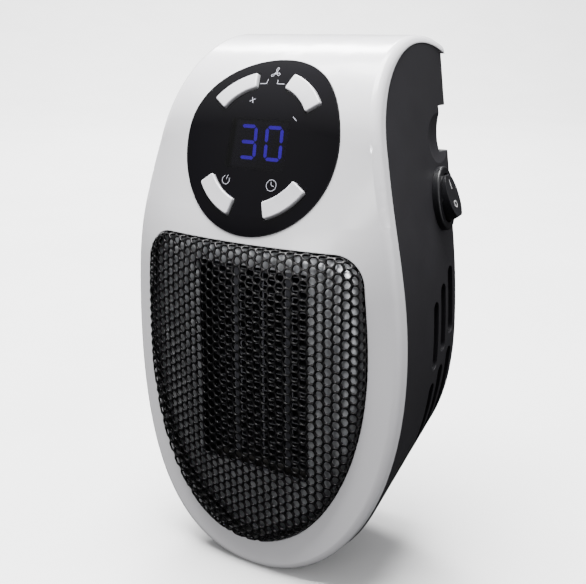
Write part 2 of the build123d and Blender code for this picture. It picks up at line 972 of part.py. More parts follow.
def motor_shaft():
    rear = motor_back - motor_end_wall - shaft_fit
    return rod(shaft_radius, fan_front + fan_hub_wall + shaft_fit, rear, 0, core_height_middle)


def fan_blade():
    """Twisted blade along x, lofted from the hub to the tip and trimmed to the fan's radius."""
    root = Plane(origin=(fan_hub_radius - fan_hub_wall / 2, 0, 0), x_dir=(0, 1, 0), z_dir=(1, 0, 0))
    tip = Plane(origin=(fan_radius + overrun, 0, 0), x_dir=(0, 1, 0), z_dir=(1, 0, 0))
    inner = root * Rot(0, 0, 90 - blade_root_angle) * Rectangle(blade_root_chord, blade_sheet)
    outer = tip * Rot(0, 0, 90 - blade_tip_angle) * Rectangle(blade_tip_chord, blade_sheet)
    blade = loft([inner, outer], ruled=True)
    return blade & rod(fan_radius, -fan_depth / 2, fan_depth / 2)


def fan_impeller():
    """Cup-shaped hub on the motor's shaft with twisted blades."""
    middle = core_height_middle
    cup_floor = fan_front + fan_hub_wall
    wheel = rod(fan_hub_radius, fan_front, fan_back, 0, middle)
    front_edge = wheel.edges().sort_by(Axis.Y)[0]
    wheel = fillet(front_edge, fan_hub_wall)
    blade = Pos(0, (fan_front + fan_back) / 2, middle)
    blades = [blade * Rot(0, 360 * index / fan_blades, 0) * fan_blade() for index in range(fan_blades)]
    wheel += blades
    wheel -= tube(fan_hub_radius - fan_hub_wall, shaft_boss_radius, cup_floor, back, 0, middle)
    return wheel - rod(shaft_radius + shaft_fit, cup_floor, back, 0, middle)


def thermal_cutout():
    """Round thermostat on the sleeve's left wall, with two tabs."""
    wall = core_half_width + duct_gap + duct_wall
    spot = Pos(-wall - cutout_length / 2, cutout_depth, cutout_height) * Rot(0, 90, 0)
    body = spot * Cylinder(cutout_radius, cutout_length)
    reach = -wall - cutout_length
    half = cutout_tab_width / 2
    for side in (-1, 1):
        z = cutout_height + side * cutout_radius / 2
        body += block(
            (reach - cutout_tab_length, reach),
            (cutout_depth - half, cutout_depth + half),
            (z - terminal_sheet / 2, z + terminal_sheet / 2),
        )
    return body


switch_plane = Plane(
    origin=(side_reach(switch_height, switch_depth), switch_depth, switch_height),
    x_dir=(-sin(radians(switch_turn)), cos(radians(switch_turn)), 0),
    z_dir=(
        cos(radians(switch_lean)) * cos(radians(switch_turn)),
        cos(radians(switch_lean)) * sin(radians(switch_turn)),
        sin(radians(switch_lean)),
    ),
)


def oval(inset, low, high):
    """Oval block in the switch's own frame, between two heights over the wall."""
    face = Ellipse(bezel_width / 2 - inset, bezel_height / 2 - inset)
    return Pos(0, 0, low) * extrude(face, amount=high - low)


def switch_hole():
    return switch_plane * oval(bezel_seat - seat_gap, -switch_body_depth, bezel_proud)


def rocker_pins(radius, length):
    """Pivot pins at both sides of the rocker."""
    reach = bezel_width / 2 - bezel_wall + length
    return Pos(0, 0, rocker_pivot_height) * Rot(0, 90, 0) * Cylinder(radius, 2 * reach)


def switch_body():
    """Oval bezel and the case behind it, open for the rocker."""
    body = oval(0, -part_gap, bezel_proud)
    top_edge = body.edges().sort_by(Axis.Z)[-1]
    body = fillet(top_edge, bezel_proud / 3)
    body += oval(bezel_seat, -switch_body_depth, 0)
    body -= oval(bezel_wall, -switch_cavity_depth, bezel_proud + overrun)
    body -= rocker_pins(rocker_pivot_radius + shaft_fit, rocker_pivot_length + shaft_fit)
    return (switch_plane * body) - housing_skin()


def housing_skin():
    """The wall round the switch, which the bezel's rear lies on."""
    depths = (switch_depth - bezel_width, switch_depth + bezel_width / 2 + overrun)
    heights = (switch_height - bezel_height, switch_height + bezel_height)
    region = block((0, body_width), depths, heights)
    return (housing_block(0) & region) - switch_hole()


def switch_rocker():
    """Oval key with a flat top, turned to its pressed-in upper end."""
    end_radius = bezel_height / 2 - bezel_wall - rocker_gap
    key = oval(bezel_wall + rocker_gap, rocker_pivot_height - rocker_underside, bezel_height)
    pivot = Pos(0, 0, rocker_pivot_height)
    key &= pivot * Rot(0, 90, 0) * Cylinder(end_radius, bezel_width)
    above = rocker_face + bezel_height / 2
    key -= pivot * Pos(0, 0, above) * Box(bezel_height, bezel_height, bezel_height)
    key += rocker_pins(rocker_pivot_radius, rocker_pivot_length)
    return switch_plane * (pivot * Rot(-rocker_angle, 0, 0) * pivot.inverse() * key)


def switch_tabs():
    """Three connection tabs behind the switch."""
    tabs = []
    for index in (-1, 0, 1):
        z = index * switch_tab_length
        tab = Pos(0, z, -switch_body_depth - switch_tab_length / 2)
        tabs.append(switch_plane * tab * Box(switch_tab_width, terminal_sheet, switch_tab_length))
    return tabs


def on_power_board(x, width, depth, base, height):
    """Upright block on the rear side of the power board."""
    seat = power_board_depth + board_thickness
    return block((x - width / 2, x + width / 2), (seat, seat + depth), (base, base + height))


def relay():
    return on_power_board(relay_x, relay_width, relay_depth, relay_base, relay_height)


def capacitor():
    size = (capacitor_width, capacitor_depth, capacitor_base, capacitor_height)
    body = on_power_board(capacitor_x, *size)
    return fillet(body.edges().filter_by(Axis.Y), capacitor_edge_radius)


def contact_springs():
    """Bent strips from the power board to the plug's two rings."""
    board_rear = power_board_depth + board_thickness
    pad_rear = ring_front - running_gap
    springs = []
    radii = (-outer_ring_radius + ring_width / 2, inner_ring_radius - ring_width / 2)
    for x in radii:
        half = contact_sheet / 2
        foot_low = plug_axis_height - contact_rise - contact_foot
        bend = plug_axis_height - contact_rise
        points = [
            (board_rear + half, foot_low),
            (board_rear + half, bend),
            (pad_rear - half, bend),
            (pad_rear - half, plug_axis_height + contact_width / 2),
        ]
        path = Plane.YZ * FilletPolyline(points, radius=contact_bend_radius)
        start = Plane(path @ 0, x_dir=(1, 0, 0), z_dir=path % 0)
        section = start * Rectangle(contact_width, contact_sheet)
        springs.append(Pos(x, 0, 0) * sweep(section, path))
    return springs


def slip_rings():
    rings = []
    for outer in (outer_ring_radius, inner_ring_radius):
        inner = outer - ring_width
        rings.append(tube(outer, inner, ring_front, retainer_front, 0, plug_axis_height))
    return rings


def turntable_screw_places():
    """Screw places round the turntable's hub."""
    reach = turntable_screw_radius
    angles = [radians(angle) for angle in (90, 210, 330)]
    return [(reach * cos(angle), plug_axis_height + reach * sin(angle)) for angle in angles]


def turntable_retainer():
    """Disc on the hub's inner end that holds the turntable in the wall."""
    disc = rod(retainer_radius, retainer_front, hub_front, 0, plug_axis_height)
    bore = small_screw_radius + seat_gap
    for x, z in turntable_screw_places():
        disc -= rod(bore, retainer_front - overrun, hub_front + overrun, x, z)
    return disc


def plug_turntable():
    """Disc in the rear wall's recess, with the hub that turns in the wall."""
    table = rod(turntable_radius, recess_floor + running_gap, plug_root, 0, plug_axis_height)
    table = fillet(table.edges().sort_by(Axis.Y)[-1], turntable_edge_radius)
    table += rod(hub_radius, hub_front, plug_root - turntable_edge_radius, 0, plug_axis_height)
    bore = small_screw_radius + shaft_fit
    for x, z in turntable_screw_places():
        table -= rod(bore, hub_front - overrun, hub_front + small_screw_grip, x, z)
    return table - pin_bores()


def pin_bores():
    """Bores for the pins' roots, with a shallow seat as wide as the pins at the plug's face."""
    bores = Part()
    end = back + plug_reach
    seat = plug_face - pin_seat_depth
    for x in (-pin_spacing / 2, pin_spacing / 2):
        bores += rod(pin_root_radius + shaft_fit, pin_root_front, end, x, plug_axis_height)
        bores += rod(pin_radius + shaft_fit, seat, end, x, plug_axis_height)
    return bores


def plug_shell():
    """Round plug body with a groove at each side, as wide sockets need."""
    shell = rod(plug_radius, plug_root, plug_face, 0, plug_axis_height)
    groove_front = plug_root + plug_edge_radius
    for x in (-plug_radius, plug_radius):
        shell -= rod(plug_groove_radius, groove_front, back + plug_reach, x, plug_axis_height)
    rim = shell.faces().sort_by(Axis.Y)[-1].edges()
    shell = fillet(rim, plug_edge_radius / 2)
    return shell - pin_bores()


def plug_pins():
    """Round pins with rounded tips."""
    pins = []
    for x in (-pin_spacing / 2, pin_spacing / 2):
        pin = rod(pin_radius, plug_face, plug_face + pin_length, x, plug_axis_height)
        pin = fillet(pin.edges().sort_by(Axis.Y)[-1], pin_tip_radius)
        pin += rod(pin_root_radius, pin_root_front, plug_face + overrun, x, plug_axis_height)
        pins.append(pin)
    return pins


def screw(radius, head_radius, head_height, grip, seat, x, z, forward=1):
    """Screw whose head lies on a seat; forward is 1 where it is driven towards the front."""
    tip = seat - forward * grip
    head = seat + forward * head_height
    shank = rod(radius, min(tip, seat), max(tip, seat), x, z)
    cap = rod(head_radius, min(seat, head), max(seat, head), x, z)
    return shank + cap


def small_screw(grip, seat, x, z, forward=1):
    size = (small_screw_radius, small_head_radius, small_head_height)
    return screw(*size, grip, seat, x, z, forward)


def housing_screws():
    size = (screw_radius, screw_head_radius, screw_head_height, screw_grip + housing_wall)
    return [screw(*size, screw_seat, x, z) for x, z in upper_posts + lower_posts]


def duct_screws():
    """Short screws through the duct's straps into the cover's posts and the shield's bosses."""
    grip = duct_wall + duct_screw_grip
    cover_screws = [small_screw(grip, strap_rear, x, z) for x, z in duct_posts]
    shield_grip = duct_wall + (core_front - shield_depth - shield_sheet) - seat_gap
    return cover_screws + [small_screw(shield_grip, strap_rear, x, z) for x, z in shield_bosses]


def bracket_screws():
    seat = duct_rear + bracket_sheet
    grip = bracket_sheet + small_screw_grip
    return [small_screw(grip, seat, x, z) for x, z in bracket_places()]


def board_screws():
    grip = board_thickness + small_screw_grip
    front = [small_screw(grip, board_depth + board_thickness, x, z) for x, z in board_posts]
    return front + [small_screw(grip, power_board_depth, x, z, -1) for x, z in power_posts]


def turntable_screws():
    grip = retainer_thickness + small_screw_grip - overrun
    return [small_screw(grip, retainer_front, x, z, -1) for x, z in turntable_screw_places()]


display_rear = display_depth + display_body
nodes = {
    "front_cover": front_cover(),
    "rear_housing": rear_housing(),
    "grille": grille(),
    "heat_shield": heat_shield(),
    "fin_strips": fin_strips(),
    "core_bars": core_bars(),
    "heating_stones": heating_stones(),
    "core_side_plates": core_side_plates(),
    "core_end_caps": core_end_caps(),
    "core_terminals": [terminal(-bar_x), terminal(bar_x)],
    "fan_duct": fan_duct(),
    "duct_screws": duct_screws(),
    "thermal_cutout": thermal_cutout(),
    "fan_impeller": fan_impeller(),
    "motor_shaft": motor_shaft(),
    "fan_motor": fan_motor(),
    "motor_bracket": motor_bracket(),
    "bracket_screws": bracket_screws(),
    "control_panel": control_panel(),
    "display_module": display_block(display_width, display_height, display_depth, display_rear),
    "display_spacer": display_block(
        display_spacer_width, display_spacer_height, display_rear, board_depth
    ),
    "display_segments": display_segments(),
    "control_board": control_board(),
    "key_switches": key_switches(),
    "power_board": power_board(),
    "relay": relay(),
    "capacitor": capacitor(),
    "contact_springs": contact_springs(),
    "board_screws": board_screws(),
    "switch_body": switch_body(),
    "switch_rocker": switch_rocker(),
    "switch_tabs": switch_tabs(),
    "housing_screws": housing_screws(),
    "plug_turntable": plug_turntable(),
    "turntable_retainer": turntable_retainer(),
    "turntable_screws": turntable_screws(),
    "slip_rings": slip_rings(),
    "plug_shell": plug_shell(),
    "plug_pins": plug_pins(),
}
for name, angle in button_angles.items():
    nodes[name] = button(angle)

to_plug_axis = Pos(0, -plug_face, -plug_axis_height)
os.makedirs("parts", exist_ok=True)
for name, shape in nodes.items():
    solids = shape if isinstance(shape, list) else [shape]
    moved = [to_plug_axis * solid for solid in solids]
    export_step(moved[0] if len(moved) == 1 else Compound(children=moved), f"parts/{name}.step")
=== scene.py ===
"""A plug-in ceramic heater with a domed, perforated front, dressed for a plain studio picture.

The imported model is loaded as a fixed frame. Each sub-assembly is a class that dresses its pieces
or builds the ones that need a finer form, such as the stamped grille and the printed marks.
"""

import logging
import math
from dataclasses import dataclass
from enum import Enum
from typing import Any, Callable, Iterable, Optional, Sequence

import bmesh
import bpy
import numpy as np
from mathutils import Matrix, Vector
from mathutils.bvhtree import BVHTree


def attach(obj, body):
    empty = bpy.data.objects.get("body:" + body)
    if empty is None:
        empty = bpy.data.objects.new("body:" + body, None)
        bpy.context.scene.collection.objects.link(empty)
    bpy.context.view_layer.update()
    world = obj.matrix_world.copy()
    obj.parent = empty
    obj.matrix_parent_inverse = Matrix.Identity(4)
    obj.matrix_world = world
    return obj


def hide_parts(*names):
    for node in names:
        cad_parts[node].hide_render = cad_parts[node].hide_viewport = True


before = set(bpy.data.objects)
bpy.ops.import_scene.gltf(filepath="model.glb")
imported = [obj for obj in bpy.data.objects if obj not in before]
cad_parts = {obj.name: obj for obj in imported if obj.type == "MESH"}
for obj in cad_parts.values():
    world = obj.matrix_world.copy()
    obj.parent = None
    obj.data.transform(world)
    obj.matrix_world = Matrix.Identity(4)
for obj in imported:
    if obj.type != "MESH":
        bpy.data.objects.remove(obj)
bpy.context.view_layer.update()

log = logging.getLogger("heater")

MM = 0.001
PLUG_DEPTH = 83.5
PLUG_HEIGHT = 140.7

Point2 = tuple[float, float]
Mesh2 = tuple[list[Point2], list[tuple[int, ...]]]


class Body(str, Enum):
    """Moving bodies that the pieces made here ride on."""

    HOUSING = "housing"
    PLUG = "plug"
    ROCKER = "switch_rocker"


class Along(Enum):
    """Direction that a rolled or drawn metal's lines run in."""

    X = (0.06, 1.0, 1.0)
    Y = (1.0, 0.06, 1.0)
    Z = (1.0, 1.0, 0.06)


def linear(hex_colour: str) -> tuple[float, float, float, float]:
    """Turns an sRGB hex colour to linear RGBA.

    Args:
        hex_colour: Six hex digits, with or without a leading #.

    Returns:
        The linear colour with full alpha.
    """
    digits = hex_colour.lstrip("#")
    values = [int(digits[i:i + 2], 16) / 255 for i in (0, 2, 4)]
    low, high = 12.92, 1.055
    curved = [v / low if v <= 0.04045 else ((v + 0.055) / high) ** 2.4 for v in values]
    return (curved[0], curved[1], curved[2], 1.0)


def place(x: float, depth: float, height: float) -> Vector:
    """Turns sideways, depth and height in millimetres to a point of the row frame.

    Args:
        x: Millimetres to the right of the middle.
        depth: Millimetres behind the front of the grille.
        height: Millimetres above the lowest point of the cover.

    Returns:
        The point in metres.
    """
    return Vector((x, depth - PLUG_DEPTH, height - PLUG_HEIGHT)) * MM


def add(
    tree: bpy.types.NodeTree,
    kind: str,
    inputs: Optional[dict[Any, Any]] = None,
    **settings: Any,
) -> bpy.types.Node:
    """Adds a node with its settings and its inputs, given as values or as sockets to link.

    Args:
        tree: The node tree that gets the node.
        kind: The node's type name.
        inputs: Values or output sockets by input name or number.
        settings: Properties of the node.

    Returns:
        The new node.
    """
    node = tree.nodes.new(kind)
    for key, value in settings.items():
        setattr(node, key, value)
    for key, value in (inputs or {}).items():
        if isinstance(value, bpy.types.NodeSocket):
            tree.links.new(value, node.inputs[key])
        else:
            node.inputs[key].default_value = value
    return node


@dataclass(frozen=True)
class Finish:
    """A surface with two close colours in soft patches and a fine grain.

    Sizes are in millimetres. Subclasses add what their own material shows.
    """

    name: str
    colour: str
    shade: str
    roughness: float
    roughness_spread: float = 0.05
    patch_mm: float = 14.0
    grain_mm: float = 0.35
    grain_height_mm: float = 0.004
    ior: float = 1.5
    metallic: float = 0.0
    coat: float = 0.0
    coat_roughness: float = 0.05
    specular: float = 0.5
    edge_mm: float = 0.0
    stretch: Optional[Along] = None

    def material(self) -> bpy.types.Material:
        """Returns the material of this name, made on first use."""
        made = bpy.data.materials.get(self.name)
        if made is None:
            made = bpy.data.materials.new(self.name)
            made.use_nodes = True
            tree = made.node_tree
            tree.nodes.clear()
            surface = self.detail(tree, self.base(tree))
            add(tree, "ShaderNodeOutputMaterial", {"Surface": surface})
            made.diffuse_color = linear(self.colour)
        return made

    def coordinates(self, tree: bpy.types.NodeTree) -> bpy.types.NodeSocket:
        """Object coordinates in metres, stretched along the rolling direction if there is one."""
        spot = add(tree, "ShaderNodeTexCoord").outputs["Object"]
        if self.stretch is None:
            return spot
        scaled = add(tree, "ShaderNodeMapping", {"Vector": spot, "Scale": self.stretch.value})
        return scaled.outputs["Vector"]

    def noise(
        self, tree: bpy.types.NodeTree, size_mm: float, detail: float = 2.0
    ) -> bpy.types.NodeSocket:
        """Noise whose blobs are about size_mm across.

        Args:
            tree: The material's node tree.
            size_mm: Size of one blob.
            detail: Octaves of finer noise.

        Returns:
            The noise value's socket.
        """
        spot = self.coordinates(tree)
        inputs = {"Vector": spot, "Scale": 1 / (size_mm * MM), "Detail": detail}
        return add(tree, "ShaderNodeTexNoise", inputs).outputs[0]

    def base(self, tree: bpy.types.NodeTree) -> bpy.types.Node:
        """Adds the shader with patches of colour and gloss and the grain as a bump.

        Args:
            tree: The material's node tree.

        Returns:
            The shader node.
        """
        ramp = add(tree, "ShaderNodeValToRGB", {"Fac": self.noise(tree, self.patch_mm)})
        ramp.color_ramp.elements[0].position = 0.35
        ramp.color_ramp.elements[0].color = linear(self.colour)
        ramp.color_ramp.elements[1].position = 0.65
        ramp.color_ramp.elements[1].color = linear(self.shade)
        spread = {
            "Value": self.noise(tree, self.patch_mm / 3),
            "To Min": max(self.roughness - self.roughness_spread, 0.0),
            "To Max": self.roughness + self.roughness_spread,
        }
        gloss = add(tree, "ShaderNodeMapRange", spread)
        bump = add(
            tree,
            "ShaderNodeBump",
            {
                "Height": self.noise(tree, self.grain_mm),
                "Distance": self.grain_height_mm * MM,
                "Strength": 1.0,
            },
        )
        if self.edge_mm > 0:
            edge = add(tree, "ShaderNodeBevel", {"Radius": self.edge_mm * MM}, samples=6)
            tree.links.new(edge.outputs["Normal"], bump.inputs["Normal"])
        shader = add(
            tree,
            "ShaderNodeBsdfPrincipled",
            {
                "Base Color": ramp.outputs["Color"],
                "Roughness": gloss.outputs["Result"],
                "Normal": bump.outputs["Normal"],
                "Metallic": self.metallic,
                "Coat Weight": self.coat,
                "Coat Roughness": self.coat_roughness,
                "Specular IOR Level": self.specular,
            },
        )
        if self.metallic == 0:
            shader.inputs["IOR"].default_value = self.ior
        return shader

    def detail(
        self, tree: bpy.types.NodeTree, shader: bpy.types.Node
    ) -> bpy.types.NodeSocket:
        """Adds what only this kind of surface shows, and returns the surface's socket."""
        return shader.outputs["BSDF"]


@dataclass(frozen=True)
class RolledMetal(Finish):
    """Bare sheet or drawn metal: long fine lines from the rolls and a few dull spots."""

    metallic: float = 1.0
    spot_mm: float = 2.5
    spot_roughness: float = 0.16

    def detail(
        self, tree: bpy.types.NodeTree, shader: bpy.types.Node
    ) -> bpy.types.NodeSocket:
        """Dulls scattered spots, as handling and heat do, and returns the surface's socket."""
        old = shader.inputs["Roughness"].links[0].from_socket
        spots = add(
            tree,
            "ShaderNodeMapRange",
            {
                "Value": self.noise(tree, self.spot_mm, 4.0),
                "From Min": 0.55,
                "From Max": 0.75,
                "To Max": self.spot_roughness,
            },
        )
        total = add(
            tree, "ShaderNodeMath", {0: old, 1: spots.outputs["Result"]}, operation="ADD"
        )
        tree.links.new(total.outputs["Value"], shader.inputs["Roughness"])
        return shader.outputs["BSDF"]


@dataclass(frozen=True)
class CoatedSteel(Finish):
    """Black-coated stamped steel, with a painted highlight: a paler colour on the holes' raised edges."""

    # Paler colour and its strength for the painted highlight on the raised edges.
    highlight_colour: str = "#1C1C1F"
    highlight_gain: float = 0.6

    def detail(
        self, tree: bpy.types.NodeTree, shader: bpy.types.Node
    ) -> bpy.types.NodeSocket:
        """Lightens the raised edges as a painted highlight, and returns the surface's socket."""
        sharp = add(tree, "ShaderNodeNewGeometry").outputs["Pointiness"]
        edge = add(
            tree,
            "ShaderNodeMapRange",
            {"Value": sharp, "From Min": 0.53, "From Max": 0.62, "To Max": self.highlight_gain},
        )
        old = shader.inputs["Base Color"].links[0].from_socket
        # Painted highlight: mixes the paler colour in on the raised edges.
        edge_highlight = add(tree, "ShaderNodeMix", data_type="RGBA")
        tree.links.new(edge.outputs["Result"], edge_highlight.inputs["Factor"])
        tree.links.new(old, edge_highlight.inputs[6])
        edge_highlight.inputs[7].default_value = linear(self.highlight_colour)
        tree.links.new(edge_highlight.outputs[2], shader.inputs["Base Color"])
        return shader.outputs["BSDF"]


@dataclass(frozen=True)
class SmokedLens(Finish):
    """Acrylic lens, printed black behind apart from a smoked window over the digits."""

    window_x: float = -0.6
    window_height: float = 138.0
    window_width: float = 23.0
    window_tall: float = 16.0
    feather_mm: float = 1.5
    tint: str = "#9A96A6"

    def detail(
        self, tree: bpy.types.NodeTree, shader: bpy.types.Node
    ) -> bpy.types.NodeSocket:
        """Lets light through in the window, which keeps its gloss, and returns the surface."""
        spot = add(tree, "ShaderNodeTexCoord").outputs["Object"]
        axes = add(tree, "ShaderNodeSeparateXYZ", {0: spot})
        middle = place(self.window_x, 0, self.window_height)
        clear: Optional[bpy.types.NodeSocket] = None
        for axis, centre, width in (
            ("X", middle.x, self.window_width),
            ("Z", middle.z, self.window_tall),
        ):
            offset = add(
                tree, "ShaderNodeMath", {0: axes.outputs[axis], 1: centre}, operation="SUBTRACT"
            )
            away = add(tree, "ShaderNodeMath", {0: offset.outputs[0]}, operation="ABSOLUTE")
            half = width / 2 * MM
            inside = add(
                tree,
                "ShaderNodeMapRange",
                {
                    "Value": away.outputs[0],
                    "From Min": half - self.feather_mm * MM,
                    "From Max": half,
                    "To Min": 1.0,
                    "To Max": 0.0,
                },
                interpolation_type="SMOOTHSTEP",
            ).outputs["Result"]
            if clear is None:
                clear = inside
            else:
                clear = add(
                    tree, "ShaderNodeMath", {0: clear, 1: inside}, operation="MULTIPLY"
                ).outputs[0]
        through = add(tree, "ShaderNodeBsdfTransparent", {"Color": linear(self.tint)})
        sheen = add(
            tree,
            "ShaderNodeBsdfGlossy",
            {"Color": linear("#FFFFFF"), "Roughness": self.roughness},
        )
        mirror = add(tree, "ShaderNodeFresnel", {"IOR": self.ior})
        window = add(
            tree,
            "ShaderNodeMixShader",
            {0: mirror.outputs["Fac"], 1: through.outputs["BSDF"], 2: sheen.outputs["BSDF"]},
        )
        whole = add(
            tree,
            "ShaderNodeMixShader",
            {0: clear, 1: shader.outputs["BSDF"], 2: window.outputs["Shader"]},
        )
        return whole.outputs["Shader"]


@dataclass(frozen=True)
class LitBar(Finish):
    """Light bars of a seven-segment display: evenly lit, a little brighter in blotches."""

    glow: str = "#6400FF"
    strength: float = 3.0

    def detail(
        self, tree: bpy.types.NodeTree, shader: bpy.types.Node
    ) -> bpy.types.NodeSocket:
        """Makes the bar shine, and returns the surface's socket."""
        shader.inputs["Emission Color"].default_value = linear(self.glow)
        level = add(
            tree,
            "ShaderNodeMapRange",
            {
                "Value": self.noise(tree, self.patch_mm),
                "To Min": self.strength * 0.75,
                "To Max": self.strength * 1.25,
            },
        )
        tree.links.new(level.outputs["Result"], shader.inputs["Emission Strength"])
        return shader.outputs["BSDF"]


@dataclass(frozen=True)
class Laminate(Finish):
    """Glass-fibre board under solder mask, with copper tracks that show as paler bands."""

    track: str = "#2F7A4A"
    track_mm: float = 2.4

    def detail(
        self, tree: bpy.types.NodeTree, shader: bpy.types.Node
    ) -> bpy.types.NodeSocket:
        """Draws the tracks, and returns the surface's socket."""
        inputs = {"Vector": self.coordinates(tree), "Scale": 1 / (self.track_mm * MM)}
        cells = add(tree, "ShaderNodeTexVoronoi", inputs, distance="MANHATTAN")
        band = add(
            tree,
            "ShaderNodeMapRange",
            {"Value": cells.outputs["Distance"], "From Min": 0.45, "From Max": 0.5},
        )
        old = shader.inputs["Base Color"].links[0].from_socket
        tracks = add(tree, "ShaderNodeMix", data_type="RGBA")
        tree.links.new(band.outputs["Result"], tracks.inputs["Factor"])
        tree.links.new(old, tracks.inputs[6])
        tracks.inputs[7].default_value = linear(self.track)
        tree.links.new(tracks.outputs[2], shader.inputs["Base Color"])
        return shader.outputs["BSDF"]


# Polished mould, white ABS: a clean gloss with a faint orange peel.
WHITE_ABS = Finish(
    "white_abs_polished", "#EFEEF1", "#ECEBEE", 0.24, 0.03, 30.0, 1.6, 0.006, 1.54, coat=0.25,
    coat_roughness=0.12, edge_mm=0.45,
)
# Spark-eroded mould, black ABS: a dull, finely pitted charcoal.
BLACK_ABS = Finish(
    "black_abs_eroded", "#242327", "#27262A", 0.56, 0.06, 22.0, 0.28, 0.022, 1.54, specular=0.4,
    edge_mm=0.4,
)
# Powder-coated stamped steel: satin black, with a painted highlight of paler colour round the holes'
# edges.
BLACK_MESH = CoatedSteel(
    "black_coated_steel", "#040405", "#070708", 0.3, 0.07, 6.0, 0.25, 0.006, 1.5, specular=0.3
)
# Hot-dip galvanised steel sheet: bright grey with soft spangles.
SHIELD_STEEL = RolledMetal(
    "galvanised_steel", "#E6E7EA", "#CCCED3", 0.33, 0.06, 5.0, 0.5, 0.006, spot_mm=3.0
)
# Aluminium foil fins, their colour darkened as painted shade for the dark inside of the core.
FIN_ALUMINIUM = RolledMetal(
    "aluminium_fins", "#8A8A8F", "#75757A", 0.5, 0.08, 3.0, 0.2, 0.004, stretch=Along.X
)
# Extruded aluminium tubes of the core, their colour darkened as painted shade for the dark inside of the
# core.
TUBE_ALUMINIUM = RolledMetal(
    "aluminium_tubes", "#6E6E74", "#5C5C62", 0.45, 0.06, 6.0, 0.25, 0.004, stretch=Along.Z
)
# Barium titanate stones, a chalky grey-brown ceramic.
STONE = Finish("titanate_ceramic", "#6E6A64", "#5C5852", 0.8, 0.08, 2.0, 0.2, 0.02, 1.6)
# Glass-filled PPS: matt brown-black with pale fibre flecks.
HEAT_PLASTIC = Finish("pps_glass_filled", "#24221F", "#34312D", 0.6, 0.08, 0.8, 0.2, 0.02, 1.65)
# Glass-filled PA66 duct: dull grey-black.
DUCT_PLASTIC = Finish("pa66_duct", "#1C1C1F", "#252529", 0.55, 0.07, 4.0, 0.3, 0.015, 1.53)
# Grey PBT impeller, semi-gloss from the mould.
FAN_PLASTIC = Finish("pbt_impeller", "#3B3D42", "#44464B", 0.4, 0.06, 8.0, 0.5, 0.008, 1.55)
# Zinc-plated steel screws: pale blue-grey, slightly hazy.
ZINC_STEEL = RolledMetal("zinc_plated_steel", "#B9BDC2", "#9DA2A8", 0.32, 0.06, 1.2, 0.15, 0.003)
# Nickel-plated steel motor can.
MOTOR_STEEL = RolledMetal(
    "motor_can_steel", "#A4A6AA", "#8E9095", 0.3, 0.05, 5.0, 0.2, 0.003, stretch=Along.Y
)
# Rolled brass strip of the contacts.
BRASS = RolledMetal("brass_strip", "#C8A24A", "#B08A38", 0.3, 0.06, 2.0, 0.2, 0.003)
# Nickel-plated brass pins: bright, with draw lines from plugging in.
PIN_NICKEL = RolledMetal(
    "nickel_plated_pins", "#CFCDC8", "#BDBBB6", 0.2, 0.05, 4.0, 0.3, 0.003, stretch=Along.Y
)
# Smoked acrylic lens: deep black gloss that mirrors the softboxes.
LENS = SmokedLens(
    "smoked_acrylic", "#020104", "#030206", 0.04, 0.015, 20.0, 6.0, 0.0004, 1.49
)
# Pearl-white ABS key caps, polished.
KEY_ABS = Finish(
    "pearl_abs_keys", "#E4E3E7", "#DDDCE1", 0.26, 0.03, 6.0, 0.8, 0.005, 1.54, coat=0.2,
    coat_roughness=0.1,
)
# Light pipes of the digits.
DIGIT_LIGHT = LitBar("digit_light_bars", "#0C0440", "#100650", 0.4, 0.05, 1.6, 0.3, 0.002)
# Black face of the display module.
MODULE_BLACK = Finish("display_face_black", "#08070C", "#0A090F", 0.6, 0.05, 5.0, 0.3, 0.006)
# Circuit board laminate under green solder mask.
BOARD = Laminate("board_laminate_green", "#14552F", "#115029", 0.4, 0.05, 7.0, 0.3, 0.006, 1.55)
# Blue PBT relay case.
RELAY_BLUE = Finish("relay_case_blue", "#1F4FA3", "#1C4896", 0.42, 0.05, 5.0, 0.3, 0.006, 1.55)
# Yellow film capacitor case.
CAPACITOR_YELLOW = Finish("capacitor_yellow", "#D9B12A", "#CFA722", 0.4, 0.05, 4.0, 0.3, 0.006)
# Semi-gloss black nylon of the switch.
SWITCH_NYLON = Finish(
    "nylon_switch_black", "#17171A", "#1B1B1F", 0.34, 0.05, 5.0, 0.4, 0.006, 1.53, edge_mm=0.25
)
# Black PVC-like plug moulding, satin.
PLUG_BLACK = Finish(
    "plug_moulding_black", "#1E1D20", "#232226", 0.46, 0.06, 9.0, 0.3, 0.014, 1.53, edge_mm=0.3
)
# Pad-printed pale grey ink of the panel's marks.
PRINT_INK = Finish("pad_print_grey", "#B4B4BE", "#A9A9B4", 0.5, 0.05, 0.6, 0.12, 0.004, 1.5)
# Pad-printed white ink of the switch's marks.
SWITCH_INK = Finish("pad_print_white", "#E6E6E6", "#DADADA", 0.5, 0.05, 0.6, 0.12, 0.004, 1.5)
# Matt white paper sweep of the studio.
STUDIO_PAPER = Finish("studio_paper_white", "#F4F4F4", "#F1F1F1", 0.85, 0.05, 90.0, 1.0, 0.01)


def new_piece(
    name: str,
    points: Sequence[Sequence[float]],
    faces: Sequence[Sequence[int]],
    finish: Finish,
    body: Optional[Body] = None,
    smooth: bool = True,
) -> bpy.types.Object:
    """Makes an object from points and faces, dresses it, and lets it ride on a body.

    Args:
        name: The object's name.
        points: Points in metres, in the row frame.
        faces: Faces as tuples of point numbers.
        finish: What the surface is made of.
        body: The body that it rides on; None for a piece of the studio.
        smooth: True for smooth shading.

    Returns:
        The new object.
    """
    mesh = bpy.data.meshes.new(name)
    mesh.from_pydata([tuple(p) for p in points], [], [tuple(f) for f in faces])
    mesh.validate()
    mesh.materials.append(finish.material())
    mesh.polygons.foreach_set("use_smooth", [smooth] * len(mesh.polygons))
    piece = bpy.data.objects.new(name, mesh)
    bpy.context.scene.collection.objects.link(piece)
    if body is not None:
        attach(piece, body.value)
    return piece


